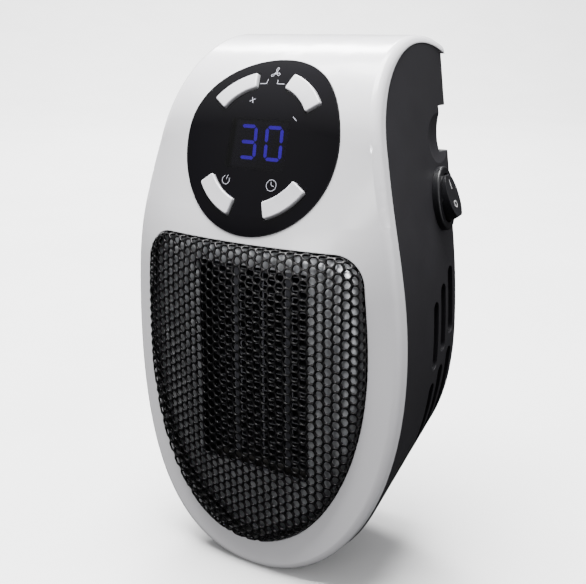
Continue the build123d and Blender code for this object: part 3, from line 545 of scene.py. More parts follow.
def dress(nodes: dict[str, Finish]) -> list[str]:
    """Gives carried-over CAD nodes their finishes.

    Args:
        nodes: A finish for each node name.

    Returns:
        The names of the nodes dressed.
    """
    for name, finish in nodes.items():
        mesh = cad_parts[name].data
        mesh.materials.clear()
        mesh.materials.append(finish.material())
    return list(nodes)


class Skin:
    """A CAD node's front surface, to set thin pieces on."""

    def __init__(self, node: str) -> None:
        """Reads the node's faces."""
        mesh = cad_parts[node].data
        points = [v.co.copy() for v in mesh.vertices]
        self.tree = BVHTree.FromPolygons(points, [tuple(p.vertices) for p in mesh.polygons])

    def touch(self, x: float, height: float) -> Vector:
        """Returns the foremost point of the node at x and height, in millimetres.

        Args:
            x: Millimetres to the right of the middle.
            height: Millimetres above the cover's lowest point.

        Returns:
            The point in metres.
        """
        start = place(x, -60.0, height)
        spot, _, _, _ = self.tree.ray_cast(start, Vector((0, 1, 0)))
        if spot is None:
            raise ValueError(f"nothing to sit on at {x}, {height}")
        return spot


@dataclass(frozen=True)
class FaceForm:
    """The cover's face as three stations joined by a curve that is even in x.

    Depths are measured back from the grille's front plane and heights up from the cover's
    lowest point, in millimetres.
    """

    front: float = 2.0
    span: float = 54.0
    hood_depth: float = 51.0
    hood_radius: float = 38.0
    top: float = 170.0
    slope: float = 17.8
    blend: float = 90.0
    chin_radius: float = 600.0
    chin_height: float = 66.0
    below: float = -1.0
    rear: float = 66.5
    steps: int = 24

    def station(self, slope: float, deep: float) -> np.ndarray:
        """Side profile as rows of height and depth.

        Args:
            slope: Tilt of the panel's part, in degrees; 0 for the outer stations.
            deep: How far the face is set back.

        Returns:
            Points from the bottom to the rear of the hood.
        """
        radius = self.hood_radius - deep
        middle = self.top - self.hood_radius
        turn = math.radians(slope)
        stop = math.pi / 2 + math.asin((self.rear - self.hood_depth) / radius)
        tangent = (middle + radius * math.sin(turn), self.hood_depth - radius * math.cos(turn))
        share = np.linspace(0, 1, self.steps)[:, None]
        if slope > 0:
            blend = self.blend - deep
            reach = self.front + deep + blend
            offset = -tangent[1] * math.cos(turn) + tangent[0] * math.sin(turn)
            upright = (offset - blend + reach * math.cos(turn)) / math.sin(turn)
            join = (upright + blend * math.sin(turn), reach - blend * math.cos(turn))
            drop = math.asin((self.chin_height - self.below) / self.chin_radius) * (1 - share)
            low = np.hstack(
                [
                    self.chin_height - self.chin_radius * np.sin(drop),
                    self.front + deep + self.chin_radius * (1 - np.cos(drop)),
                ]
            )
            bend = turn * share
            curve = np.hstack([upright + blend * np.sin(bend), reach - blend * np.cos(bend)])
        else:
            upright = (self.chin_height + tangent[0]) / 2
            join = ((upright + tangent[0]) / 2, tangent[1])
            low = np.hstack(
                [self.below + (self.chin_height - self.below) * share, 0 * share + tangent[1]]
            )
            curve = np.hstack([upright + (join[0] - upright) * share, 0 * share + tangent[1]])
        straight = np.array(low[-1]) + (curve[0] - low[-1]) * share
        lean = np.array(join) + (np.array(tangent) - np.array(join)) * share
        angle = turn + (stop - turn) * share
        hood = np.hstack(
            [middle + radius * np.sin(angle), self.hood_depth - radius * np.cos(angle)]
        )
        return np.vstack([low, straight, curve, lean, hood])

    def depths(self, x: np.ndarray, height: np.ndarray, deep: float) -> np.ndarray:
        """Depth of the face at many places.

        Args:
            x: Millimetres to the right of the middle.
            height: Millimetres above the cover's lowest point.
            deep: How far the face is set back.

        Returns:
            The depths in millimetres.
        """
        centre = self.station(self.slope, deep)
        side = self.station(0.0, deep)
        columns = np.linspace(0, self.span, 109)
        rows = np.linspace(0.0, self.top - 1, 339)
        table = np.empty((len(columns), len(rows)))
        for index, column in enumerate(columns):
            share = (column / self.span) ** 2
            line = centre * (1 - share) + side * share
            table[index] = np.interp(rows, line[:, 0], line[:, 1])
        a = np.clip(np.abs(x) / (columns[1] - columns[0]), 0, len(columns) - 1.001)
        b = np.clip(height / (rows[1] - rows[0]), 0, len(rows) - 1.001)
        i, j = a.astype(int), b.astype(int)
        u, v = a - i, b - j
        low = table[i, j] * (1 - v) + table[i, j + 1] * v
        high = table[i + 1, j] * (1 - v) + table[i + 1, j + 1] * v
        return low * (1 - u) + high * u


@dataclass
class PerforatedGrille:
    """Domed sheet stamped with round holes in a close hexagonal pattern, in a folded rim."""

    form: FaceForm
    half_width: float = 41.8
    base: float = 10.5
    top: float = 108.5
    widest: float = 76.0
    flare_angle: float = 5.0
    flare_radius: float = 180.0
    corner: float = 9.0
    fullness: float = 0.58
    proud: float = 2.0
    pitch: float = 3.0
    hole: float = 2.42
    row_height: float = 80.0
    sheet: float = 0.7
    fold: float = 1.2
    wall: float = 3.8
    flange: float = 1.8
    flange_sheet: float = 0.8

    def outline(self, inset: float) -> np.ndarray:
        """Outline of the grille, drawn in by inset, anticlockwise from the lowest point.

        Args:
            inset: Millimetres to draw it in by; negative makes it larger.

        Returns:
            Points as rows of x and height.
        """
        half = self.half_width - inset
        base, top = self.base + inset, self.top - inset
        corner = self.corner - inset
        drop = self.widest - base
        guide = [
            np.array((0.0, base)),
            np.array((half * self.fullness, base)),
            np.array((half, self.widest - drop * self.fullness)),
            np.array((half, self.widest)),
        ]
        points: list[np.ndarray] = []
        for t in np.linspace(0, 1, 60):
            s = 1 - t
            points.append(
                s**3 * guide[0] + 3 * s * s * t * guide[1] + 3 * s * t * t * guide[2] + t**3 * guide[3]
            )
        turn = math.radians(self.flare_angle)
        middle = np.array((half - self.flare_radius, self.widest))
        for angle in np.linspace(0, turn, 8)[1:]:
            points.append(middle + self.flare_radius * np.array((math.cos(angle), math.sin(angle))))
        shoulder = points[-1]
        tip = np.array((shoulder[0] - (top - shoulder[1]) * math.tan(turn), top))
        back = (shoulder - tip) / np.linalg.norm(shoulder - tip)
        inward = np.array((-1.0, 0.0))
        spread = math.acos(float(back @ inward))
        reach = corner / math.tan(spread / 2)
        toward = (back + inward) / np.linalg.norm(back + inward)
        hub = tip + toward * corner / math.sin(spread / 2)
        first = tip + back * reach - hub
        start = math.atan2(first[1], first[0])
        for angle in np.linspace(start, math.pi / 2, 14):
            points.append(hub + corner * np.array((math.cos(angle), math.sin(angle))))
        for share in np.linspace(0, 1, 12)[1:]:
            points.append(np.array((points[-1][0] * (1 - share) if share < 1 else 0.0, top)))
        right = np.array(points)
        left = right[1:-1][::-1] * np.array((-1.0, 1.0))
        return np.vstack([right, left])

    def run_out(self) -> float:
        """How far the flat sheet reaches past the outline before it is folded."""
        return self.fold * math.pi / 2 + (self.wall - self.fold) - self.fold

    def borders(self, inset: float) -> tuple[np.ndarray, np.ndarray, np.ndarray]:
        """Starts, outward normals and ends of the outline's sides.

        Args:
            inset: Millimetres to draw the outline in by.

        Returns:
            Three arrays with a row for each side.
        """
        edge = self.outline(inset)
        ends = np.roll(edge, -1, axis=0)
        sides = ends - edge
        normals = np.stack([sides[:, 1], -sides[:, 0]], 1)
        lengths = np.linalg.norm(normals, axis=1)
        keep = lengths > 1e-6
        return edge[keep], normals[keep] / lengths[keep][:, None], ends[keep]

    def folded(self, flat: np.ndarray) -> np.ndarray:
        """Lays points of the flat sheet on the dome, round the fold and down the wall.

        Args:
            flat: Rows of x, depth in the sheet, and height.

        Returns:
            Rows of x, depth and height, in millimetres.
        """
        starts, _, ends = self.borders(self.fold)
        spots = flat[:, [0, 2]]
        past = np.full(len(spots), -np.inf)
        for start, normal in zip(*self.borders(self.fold)[:2]):
            past = np.maximum(past, (spots - start) @ normal)
        out, back, x, z = (np.zeros(len(spots)) for _ in range(4))
        x[:], z[:] = spots[:, 0], spots[:, 1]
        depth_in = flat[:, 1].copy()
        for index in np.nonzero(past > 1e-4)[0]:
            spot = spots[index]
            sides = ends - starts
            share = ((spot - starts) * sides).sum(1) / (sides * sides).sum(1)
            near = starts + np.clip(share, 0, 1)[:, None] * sides
            gaps = np.linalg.norm(spot - near, axis=1)
            best = int(gaps.argmin())
            length = float(gaps[best])
            way = (spot - near[best]) / max(length, 1e-9)
            turn = min(length / self.fold, math.pi / 2)
            run = max(length - self.fold * math.pi / 2, 0.0)
            radius = self.fold - flat[index, 1]
            out[index] = radius * math.sin(turn)
            back[index] = self.fold - radius * math.cos(turn) + run
            x[index], z[index] = near[best] + way * out[index]
            depth_in[index] = 0.0
        depth = self.form.depths(x, z, -self.proud) + depth_in + back
        return np.stack([x, depth, z], 1)

    def lattice(self) -> bmesh.types.BMesh:
        """Flat sheet before it is folded, cut to size; depths in the sheet are kept in y."""
        step = self.pitch * math.sqrt(3) / 2
        starts, normals, _ = self.borders(-self.run_out())
        web = bmesh.new()
        cut_faces: list[bmesh.types.BMFace] = []
        rings = (
            (None, 0.0), (1.13, 0.03), (1.03, 0.11), (1.0, 0.3), (1.0, self.sheet), (None, self.sheet)
        )
        columns = int((self.half_width + self.run_out()) / step) + 2
        rows = int((self.top - self.base) / self.pitch) + 4
        made: dict[tuple[int, int, float], bmesh.types.BMVert] = {}

        def shared(x: float, z: float, deep: float) -> bmesh.types.BMVert:
            """Point between cells, used by each cell that meets there."""
            key = (round(x * 200), round(z * 200), deep)
            if key not in made:
                made[key] = web.verts.new((x, deep, z))
            return made[key]

        for column in range(-columns, columns + 1):
            for row in range(-rows, rows + 1):
                x = column * step
                z = self.row_height + row * self.pitch + (self.pitch / 2 if column % 2 else 0)
                reach = ((np.array((x, z)) - starts) * normals).sum(1).max()
                if reach > self.pitch * 0.6:
                    continue
                loops = []
                for share, deep in rings:
                    loop = []
                    for index in range(12):
                        angle = math.radians(30 * index)
                        corner = index % 2 == 0
                        if share is None:
                            radius = self.pitch / math.sqrt(3) if corner else self.pitch / 2
                            spot = (x + radius * math.cos(angle), z + radius * math.sin(angle))
                            loop.append(shared(*spot, deep))
                        else:
                            radius = self.hole / 2 * share * (1.03 if corner else 0.985)
                            spot = (x + radius * math.cos(angle), z + radius * math.sin(angle))
                            loop.append(web.verts.new((spot[0], deep, spot[1])))
                    loops.append(loop)
                for first, second in zip(loops, loops[1:]):
                    for index in range(12):
                        after = (index + 1) % 12
                        face = web.faces.new((first[index], first[after], second[after], second[index]))
                        if reach > -self.pitch * 0.6:
                            cut_faces.append(face)
        for start, normal in zip(starts, normals):
            live = [face for face in cut_faces if face.is_valid]
            geometry = set(live)
            for face in live:
                geometry.update(face.edges)
                geometry.update(face.verts)
            result = bmesh.ops.bisect_plane(
                web,
                geom=list(geometry),
                dist=1e-5,
                plane_co=(start[0], 0, start[1]),
                plane_no=(normal[0], 0, normal[1]),
                clear_outer=True,
            )
            cut_faces = [item for item in result["geom"] if isinstance(item, bmesh.types.BMFace)]
        return web

    def build(self) -> bpy.types.Object:
        """Builds the sheet and its flange, which stand for the CAD grille."""
        web = self.lattice()
        web.verts.ensure_lookup_table()
        bent = self.folded(np.array([v.co[:] for v in web.verts]))
        for vert, (x, depth, height) in zip(web.verts, bent):
            vert.co = place(float(x), float(depth), float(height))
        mesh = bpy.data.meshes.new("perforated_sheet")
        web.to_mesh(mesh)
        web.free()
        mesh.materials.append(BLACK_MESH.material())
        mesh.polygons.foreach_set("use_smooth", [True] * len(mesh.polygons))
        piece = bpy.data.objects.new("perforated_sheet", mesh)
        bpy.context.scene.collection.objects.link(piece)
        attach(piece, Body.HOUSING.value)
        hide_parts("grille")
        self.build_flange()
        return piece

    def build_flange(self) -> bpy.types.Object:
        """Builds the flange that holds the sheet behind the cover, as a closed sweep."""
        profile = [
            (self.sheet, self.wall),
            (-self.flange, self.wall),
            (-self.flange, self.wall + self.flange_sheet),
            (self.sheet, self.wall + self.flange_sheet),
        ]
        points: list[Vector] = []
        count = 0
        for inset, behind in profile:
            loop = self.outline(inset)
            count = len(loop)
            depth = self.form.depths(loop[:, 0], loop[:, 1], -self.proud) + behind
            points += [place(x, float(y), z) for (x, z), y in zip(loop, depth)]
        faces = []
        total = len(profile)
        for ring in range(total):
            after = (ring + 1) % total
            for index in range(count):
                nxt = (index + 1) % count
                faces.append(
                    (ring * count + index, ring * count + nxt, after * count + nxt, after * count + index)
                )
        piece = new_piece(
            "grille_flange", points, faces, BLACK_MESH, Body.HOUSING
        )
        fix_normals(piece)
        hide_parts("grille")
        return piece


def fix_normals(piece: bpy.types.Object) -> None:
    """Turns a closed piece's faces outward."""
    form = bmesh.new()
    form.from_mesh(piece.data)
    bmesh.ops.recalc_face_normals(form, faces=form.faces)
    form.to_mesh(piece.data)
    form.free()


def stroke(points: Sequence[Point2], width: float, closed: bool = False) -> Mesh2:
    """Flat line of even width through points, with mitred corners.

    Args:
        points: The line's middle.
        width: The line's width.
        closed: True if the last point joins the first.

    Returns:
        Points and faces in the plane.
    """
    line = [np.array(p, float) for p in points]
    count = len(line)
    rims: list[Point2] = []
    for index, spot in enumerate(line):
        before = line[index - 1] if index or closed else None
        after = line[(index + 1) % count] if index < count - 1 or closed else None
        ways = [spot - before] if before is not None else []
        ways += [after - spot] if after is not None else []
        normals = [np.array((-w[1], w[0])) / np.linalg.norm(w) for w in ways]
        mean = sum(normals) / len(normals)
        mean = mean / float(mean @ mean)
        for side in (1, -1):
            spot_out = spot + mean * width / 2 * side
            rims.append((float(spot_out[0]), float(spot_out[1])))
    spans = count if closed else count - 1
    faces = []
    for index in range(spans):
        after_index = (index + 1) % count
        a, b = 2 * index, 2 * index + 1
        c, d = 2 * after_index + 1, 2 * after_index
        faces.append((a, b, c, d))
    return rims, faces


def arc(radius: float, start: float, end: float, steps: int = 28) -> list[Point2]:
    """Points of an arc about the origin, angles in degrees."""
    return [
        (radius * math.cos(math.radians(a)), radius * math.sin(math.radians(a)))
        for a in np.linspace(start, end, steps)
    ]


def thicken(piece: bpy.types.Object, height: float) -> None:
    """Raises a printed or flat piece by height metres to both sides of where it lies."""
    layer = piece.modifiers.new("ink_layer", "SOLIDIFY")
    layer.thickness = height
    layer.offset = 0.0


@dataclass
class ControlPanel:
    """Smoked lens with four keys, printed marks and a two-digit display behind it."""

    ink_mm: float = 0.04
    line_mm: float = 0.19
    tall_share: float = 0.92
    digit_depth: float = 16.4
    digit_middle: Point2 = (-1.8, 138.0)
    digit_pitch: float = 9.7
    digit_width: float = 5.5
    digit_height: float = 9.7
    digit_slant: float = 7.0
    bar_width: float = 1.05
    bar_gap: float = 0.3
    bar_height: float = 0.2

    def marks(self) -> dict[str, tuple[Point2, float, list[Mesh2]]]:
        """Centres, turns and strokes of the printed marks."""
        w = self.line_mm
        plus = [stroke([(-1.0, 0), (1.0, 0)], w * 1.15), stroke([(0, -1.0), (0, 1.0)], w * 1.15)]
        minus = [stroke([(-0.95, 0), (0.95, 0)], w * 1.3)]
        left_elbow = [stroke([(-1.25, -0.66), (1.15, -0.66), (1.25, 0.75)], w * 0.9)]
        right_elbow = [stroke([(-1.45, 0.6), (-1.2, -0.62), (1.5, -0.62)], w * 0.9)]
        power = [
            stroke(arc(1.4, 130, 410), w * 1.1),
            stroke([(0, 0.35), (0, 1.75)], w * 1.1),
        ]
        clock = [
            stroke(arc(1.75, 0, 345, 24), w, True),
            stroke([(0, 1.15), (0, 0), (0.85, -0.45)], w),
        ]
        fan = [stroke(arc(0.32, 0, 330, 12), w * 0.9, True)]
        for turn in (90, 210, 330):
            blade = [(0.45, 0.1), (0.95, 0.55), (1.6, 0.45), (1.5, -0.15), (0.55, -0.12)]
            c, s = math.cos(math.radians(turn)), math.sin(math.radians(turn))
            fan.append(stroke([(x * c - y * s, x * s + y * c) for x, y in blade], w * 0.7, True))
        return {
            "mark_plus": ((-5.5, 150.7), 24.0, plus),
            "mark_minus": ((11.6, 146.0), -38.0, minus),
            "mark_elbow_left": ((-3.7, 156.15), 3.0, left_elbow),
            "mark_elbow_right": ((2.6, 156.2), 0.0, right_elbow),
            "mark_fan": ((-0.7, 158.7), 0.0, fan),
            "mark_power": ((-9.9, 126.9), -22.0, power),
            "mark_clock": ((7.4, 126.6), 12.0, clock),
        }

    def bars(self, centre: float, lit: str) -> list[Mesh2]:
        """Lit bars of one digit, slanted to the right.

        Args:
            centre: Sideways middle of the digit.
            lit: Letters of the lit bars, from a at the top clockwise to f, with g in the middle.

        Returns:
            A pointed bar for each letter.
        """
        half, tall, cut = self.digit_width / 2, self.digit_height / 2, self.bar_width / 2
        ends = {
            "a": ((-half, tall), (half, tall)),
            "b": ((half, tall), (half, 0)),
            "c": ((half, 0), (half, -tall)),
            "d": ((-half, -tall), (half, -tall)),
            "e": ((-half, 0), (-half, -tall)),
            "f": ((-half, tall), (-half, 0)),
            "g": ((-half, 0), (half, 0)),
        }
        lean = math.tan(math.radians(self.digit_slant))
        made: list[Mesh2] = []
        for letter in lit:
            start, end = (np.array(p, float) for p in ends[letter])
            way = (end - start) / np.linalg.norm(end - start)
            side = np.array((-way[1], way[0])) * cut
            tip, shoulder = way * self.bar_gap, way * (self.bar_gap + cut)
            ring = [
                start + tip, start + shoulder + side, end - shoulder + side,
                end - tip, end - shoulder - side, start + shoulder - side,
            ]
            made.append(([(centre + x + z * lean, z) for x, z in ring], [tuple(range(6))]))
        return made

    def build_digits(self) -> str:
        """Builds the lit bars of the number 30, which stand for the CAD bars."""
        points: list[Vector] = []
        faces: list[tuple[int, ...]] = []
        left = self.digit_middle[0] - self.digit_pitch / 2
        lit = self.bars(left, "abcdg") + self.bars(left + self.digit_pitch, "abcdef")
        for flat, loops in lit:
            start = len(points)
            points += [place(x, self.digit_depth, self.digit_middle[1] + z) for x, z in flat]
            faces += [tuple(start + i for i in face) for face in loops]
        piece = new_piece(
            "lit_bars", points, faces, DIGIT_LIGHT, Body.HOUSING, smooth=False
        )
        thicken(piece, self.bar_height * MM)
        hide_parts("display_segments")
        return piece.name

    def build(self) -> list[str]:
        """Dresses the lens, keys and display, and prints the marks on the lens."""
        skin = Skin("control_panel")
        names = dress(
            {
                "control_panel": LENS,
                "display_module": MODULE_BLACK,
                "display_spacer": MODULE_BLACK,
                "temp_up_button": KEY_ABS,
                "temp_down_button": KEY_ABS,
                "power_button": KEY_ABS,
                "timer_button": KEY_ABS,
            }
        )
        names.append(self.build_digits())
        for name, ((cx, cz), turn, strokes) in self.marks().items():
            c, s = math.cos(math.radians(turn)), math.sin(math.radians(turn))
            points: list[Vector] = []
            faces: list[tuple[int, ...]] = []
            for flat, loops in strokes:
                start = len(points)
                for a, b in flat:
                    x = cx + a * c - b * s
                    height = cz + (a * s + b * c) * self.tall_share
                    points.append(skin.touch(x, height) - Vector((0, self.ink_mm / 2 * MM, 0)))
                faces += [tuple(start + i for i in face) for face in loops]
            piece = new_piece(name, points, faces, PRINT_INK, Body.HOUSING, smooth=False)
            thicken(piece, self.ink_mm * MM)
            names.append(name)
        return names


@dataclass
class RockerSwitch:
    """Oval rocker switch on the right side with a printed I and O."""

    origin: tuple[float, float, float] = (40.85, 55.4, 119.5)
    lean: float = 8.2
    turn: float = 6.7
    rest_angle: float = -12.0
    pivot: float = 0.8
    face: float = 3.4
    ink_mm: float = 0.05
    bar_y: float = 3.7
    bar_half: float = 1.5
    ring_y: float = -2.7
    ring_x: float = -0.35
    ring_radius: float = 1.0
    line_mm: float = 0.28

    def spot(self, x: float, y: float, above: float) -> Vector:
        """Point on the rocker's flat top, in the row frame.

        Args:
            x: Millimetres across the switch.
            y: Millimetres up along the switch.
            above: Millimetres over the flat top.

        Returns:
            The point in metres.
        """
        lean, turn = math.radians(self.lean), math.radians(self.turn)
        across = Vector((-math.sin(turn), math.cos(turn), 0))
        out = Vector(
            (math.cos(lean) * math.cos(turn), math.cos(lean) * math.sin(turn), math.sin(lean))
        )
        along = out.cross(across)
        tip = math.radians(self.rest_angle)
        z = self.face + above
        yy = y * math.cos(tip) - z * math.sin(tip)
        zz = y * math.sin(tip) + z * math.cos(tip) + self.pivot
        return place(*self.origin) + (across * x + along * yy + out * zz) * MM

    def build(self) -> list[str]:
        """Dresses the switch and prints its two marks on the rocker."""
        names = dress(
            {"switch_body": SWITCH_NYLON, "switch_rocker": SWITCH_NYLON, "switch_tabs": BRASS}
        )
        bar = stroke([(0, self.bar_y - self.bar_half), (0, self.bar_y + self.bar_half)], self.line_mm)
        ring = stroke(arc(self.ring_radius, 0, 348, 30), self.line_mm, True)
        ring = ([(x + self.ring_x, y + self.ring_y) for x, y in ring[0]], ring[1])
        for name, (flat, faces) in (("mark_on", bar), ("mark_off", ring)):
            points = [self.spot(x, y, self.ink_mm / 2) for x, y in flat]
            piece = new_piece(name, points, faces, SWITCH_INK, Body.ROCKER, smooth=False)
            thicken(piece, self.ink_mm * MM)
            names.append(name)
        return names


def lathe(profile: Sequence[Point2], segments: int) -> tuple[list[Vector], list[tuple[int, ...]]]:
    """Turns a profile of radius and depth about the depth axis.

    Args:
        profile: Radius and depth of each ring, in millimetres; the ends close on the axis.
        segments: Steps round the axis.

    Returns:
        Points in millimetres about the origin, and faces.
    """
    points = []
    for radius, depth in profile:
        for index in range(segments):
            angle = 2 * math.pi * index / segments
            points.append(Vector((radius * math.cos(angle), depth, radius * math.sin(angle))))
    faces: list[tuple[int, ...]] = []
    for ring in range(len(profile) - 1):
        for index in range(segments):
            after = (index + 1) % segments
            a, b = ring * segments, (ring + 1) * segments
            faces.append((a + index, a + after, b + after, b + index))
    faces.append(tuple(range(segments)))
    faces.append(tuple(reversed(range((len(profile) - 1) * segments, len(profile) * segments))))
    return points, faces


@dataclass
class HousingScrews:
    """Pan-head screws with a cross recess, sunk in the housing's back."""

    places: tuple[Point2, ...] = ((-27.5, 157.0), (27.5, 157.0), (-20.0, 35.0), (20.0, 35.0))
    seat: float = 63.5
    shank_radius: float = 1.35
    head_radius: float = 2.75
    head_height: float = 1.55
    grip: float = 10.0
    recess_reach: float = 1.6
    recess_half: float = 0.36
    recess_depth: float = 1.0
    segments: int = 64
    rings: int = 22

    def head(self) -> tuple[list[Vector], list[tuple[int, ...]]]:
        """One screw along the depth axis, its seat at depth 0 and its head to the rear."""
        profile: list[Point2] = [
            (0.2, -self.grip),
            (self.shank_radius, -self.grip + 1.2),
            (self.shank_radius, -0.0),
            (self.head_radius, 0.0),
            (self.head_radius, self.head_height * 0.45),
        ]
        for index in range(self.rings):
            share = 1 - index / self.rings
            radius = max(self.head_radius * share, 0.02)
            rise = self.head_height * (0.45 + 0.55 * math.sqrt(max(1 - share**2.6, 0.0)))
            profile.append((radius, rise))
        points, faces = lathe(profile, self.segments)
        for point in points:
            if point.y < self.head_height * 0.5:
                continue
            near, far = sorted((abs(point.x), abs(point.z)))
            if near < self.recess_half and far < self.recess_reach:
                point.y -= self.recess_depth * (1 - 0.5 * far / self.recess_reach)
        return points, faces

    def build(self) -> list[str]:
        """Builds the four screws as one piece that stands for the CAD screws."""
        points, faces = self.head()
        all_points: list[Vector] = []
        all_faces: list[tuple[int, ...]] = []
        for x, height in self.places:
            start = len(all_points)
            all_points += [place(x + p.x, self.seat + p.y, height + p.z) for p in points]
            all_faces += [tuple(start + i for i in face) for face in faces]
        piece = new_piece(
            "cross_head_screws", all_points, all_faces, ZINC_STEEL, Body.HOUSING
        )
        fix_normals(piece)
        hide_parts("housing_screws")
        return [piece.name]


@dataclass
class Shells:
    """White front cover, black rear housing and the plug on its turntable."""

    def build(self) -> list[str]:
        """Dresses the outer mouldings and the plug."""
        return dress(
            {
                "front_cover": WHITE_ABS,
                "rear_housing": BLACK_ABS,
                "plug_turntable": PLUG_BLACK,
                "plug_shell": PLUG_BLACK,
                "turntable_retainer": PLUG_BLACK,
                "plug_pins": PIN_NICKEL,
                "slip_rings": BRASS,
                "turntable_screws": ZINC_STEEL,
            }
        )


@dataclass
class HeatBaffle:
    """Bright sheet behind the grille, rounded off toward its edge, with a window for the core."""

    grille: PerforatedGrille
    inset: float = 1.2
    front: float = 8.9
    drop: float = 3.6
    round_off: float = 4.8
    window_half: float = 21.3
    window_base: float = 33.4
    window_top: float = 101.4
    lip: float = 1.0
    sheet: float = 0.5
    steps: int = 18
    rays: int = 180

    def reach(self, ways: np.ndarray, middle: np.ndarray) -> np.ndarray:
        """Distance from the middle to the outer edge in each direction."""
        starts, normals, _ = self.grille.borders(self.inset)
        heads = ((starts - middle) * normals).sum(1)
        facing = ways @ normals.T
        lengths = np.where(facing > 1e-6, heads / np.maximum(facing, 1e-6), np.inf)
        return lengths.min(1)

    def build(self) -> str:
        """Builds the sheet, which stands for the CAD baffle."""
        half_tall = (self.window_top - self.window_base) / 2
        middle = np.array((0.0, self.window_base + half_tall))
        corner = math.atan2(half_tall, self.window_half)
        turns = list(np.linspace(0, 2 * math.pi, self.rays, endpoint=False))
        turns += [corner, math.pi - corner, math.pi + corner, -corner + 2 * math.pi]
        ways = np.array([(math.cos(t), math.sin(t)) for t in sorted(turns)])
        outer = self.reach(ways, middle)
        inner = np.minimum(
            self.window_half / np.maximum(np.abs(ways[:, 0]), 1e-9),
            half_tall / np.maximum(np.abs(ways[:, 1]), 1e-9),
        )
        starts, normals, _ = self.grille.borders(0.0)
        count = len(ways)
        points = [
            place(*(middle + way * length)[:1], self.front + self.lip, (middle + way * length)[1])
            for way, length in zip(ways, inner)
        ]
        for share in np.linspace(0, 1, self.steps):
            spots = middle + ways * (inner + (outer - inner) * share)[:, None]
            past = np.full(count, -np.inf)
            for start, normal in zip(starts, normals):
                past = np.maximum(past, (spots - start) @ normal)
            u = np.clip(1 + past / self.round_off, 0, 0.985)
            depth = self.front + self.drop * (1 - np.sqrt(1 - u * u))
            points += [place(float(x), float(d), float(h)) for (x, h), d in zip(spots, depth)]
        faces = []
        for ring in range(self.steps):
            for index in range(count):
                after = (index + 1) % count
                a, b = ring * count, (ring + 1) * count
                faces.append((a + index, a + after, b + after, b + index))
        piece = new_piece("baffle", points, faces, SHIELD_STEEL, Body.HOUSING)
        thick = piece.modifiers.new("thickness", "SOLIDIFY")
        thick.thickness = self.sheet * MM
        thick.offset = -1.0
        thick.use_even_offset = True
        soften = piece.modifiers.new("fold", "BEVEL")
        soften.width = 0.2 * MM
        soften.segments = 3
        soften.limit_method = "ANGLE"
        soften.angle_limit = math.radians(50)
        soften.harden_normals = True
        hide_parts("heat_shield")
        return piece.name


@dataclass
class HeaterCore:
    """Ceramic core with its fins, caps and terminals."""

    def build(self) -> list[str]:
        """Dresses the core and its caps."""
        return dress(
            {
                "fin_strips": FIN_ALUMINIUM,
                "core_bars": TUBE_ALUMINIUM,
                "heating_stones": STONE,
                "core_side_plates": TUBE_ALUMINIUM,
                "core_end_caps": HEAT_PLASTIC,
                "core_terminals": BRASS,
                "thermal_cutout": HEAT_PLASTIC,
            }
        )


@dataclass
class FanUnit:
    """Duct, impeller and motor behind the core."""

    def build(self) -> list[str]:
        """Dresses the duct, the impeller, the motor and their screws."""
        return dress(
            {
                "fan_duct": DUCT_PLASTIC,
                "duct_screws": ZINC_STEEL,
                "fan_impeller": FAN_PLASTIC,
                "motor_shaft": ZINC_STEEL,
                "fan_motor": MOTOR_STEEL,
                "motor_bracket": DUCT_PLASTIC,
                "bracket_screws": ZINC_STEEL,
            }
        )


@dataclass
class Electronics:
    """Control board behind the panel and power board in front of the plug."""

    def build(self) -> list[str]:
        """Dresses the boards and what sits on them."""
        return dress(
            {
                "control_board": BOARD,
                "key_switches": SWITCH_NYLON,
                "power_board": BOARD,
                "relay": RELAY_BLUE,
                "capacitor": CAPACITOR_YELLOW,
                "contact_springs": BRASS,
                "board_screws": ZINC_STEEL,
            }
        )


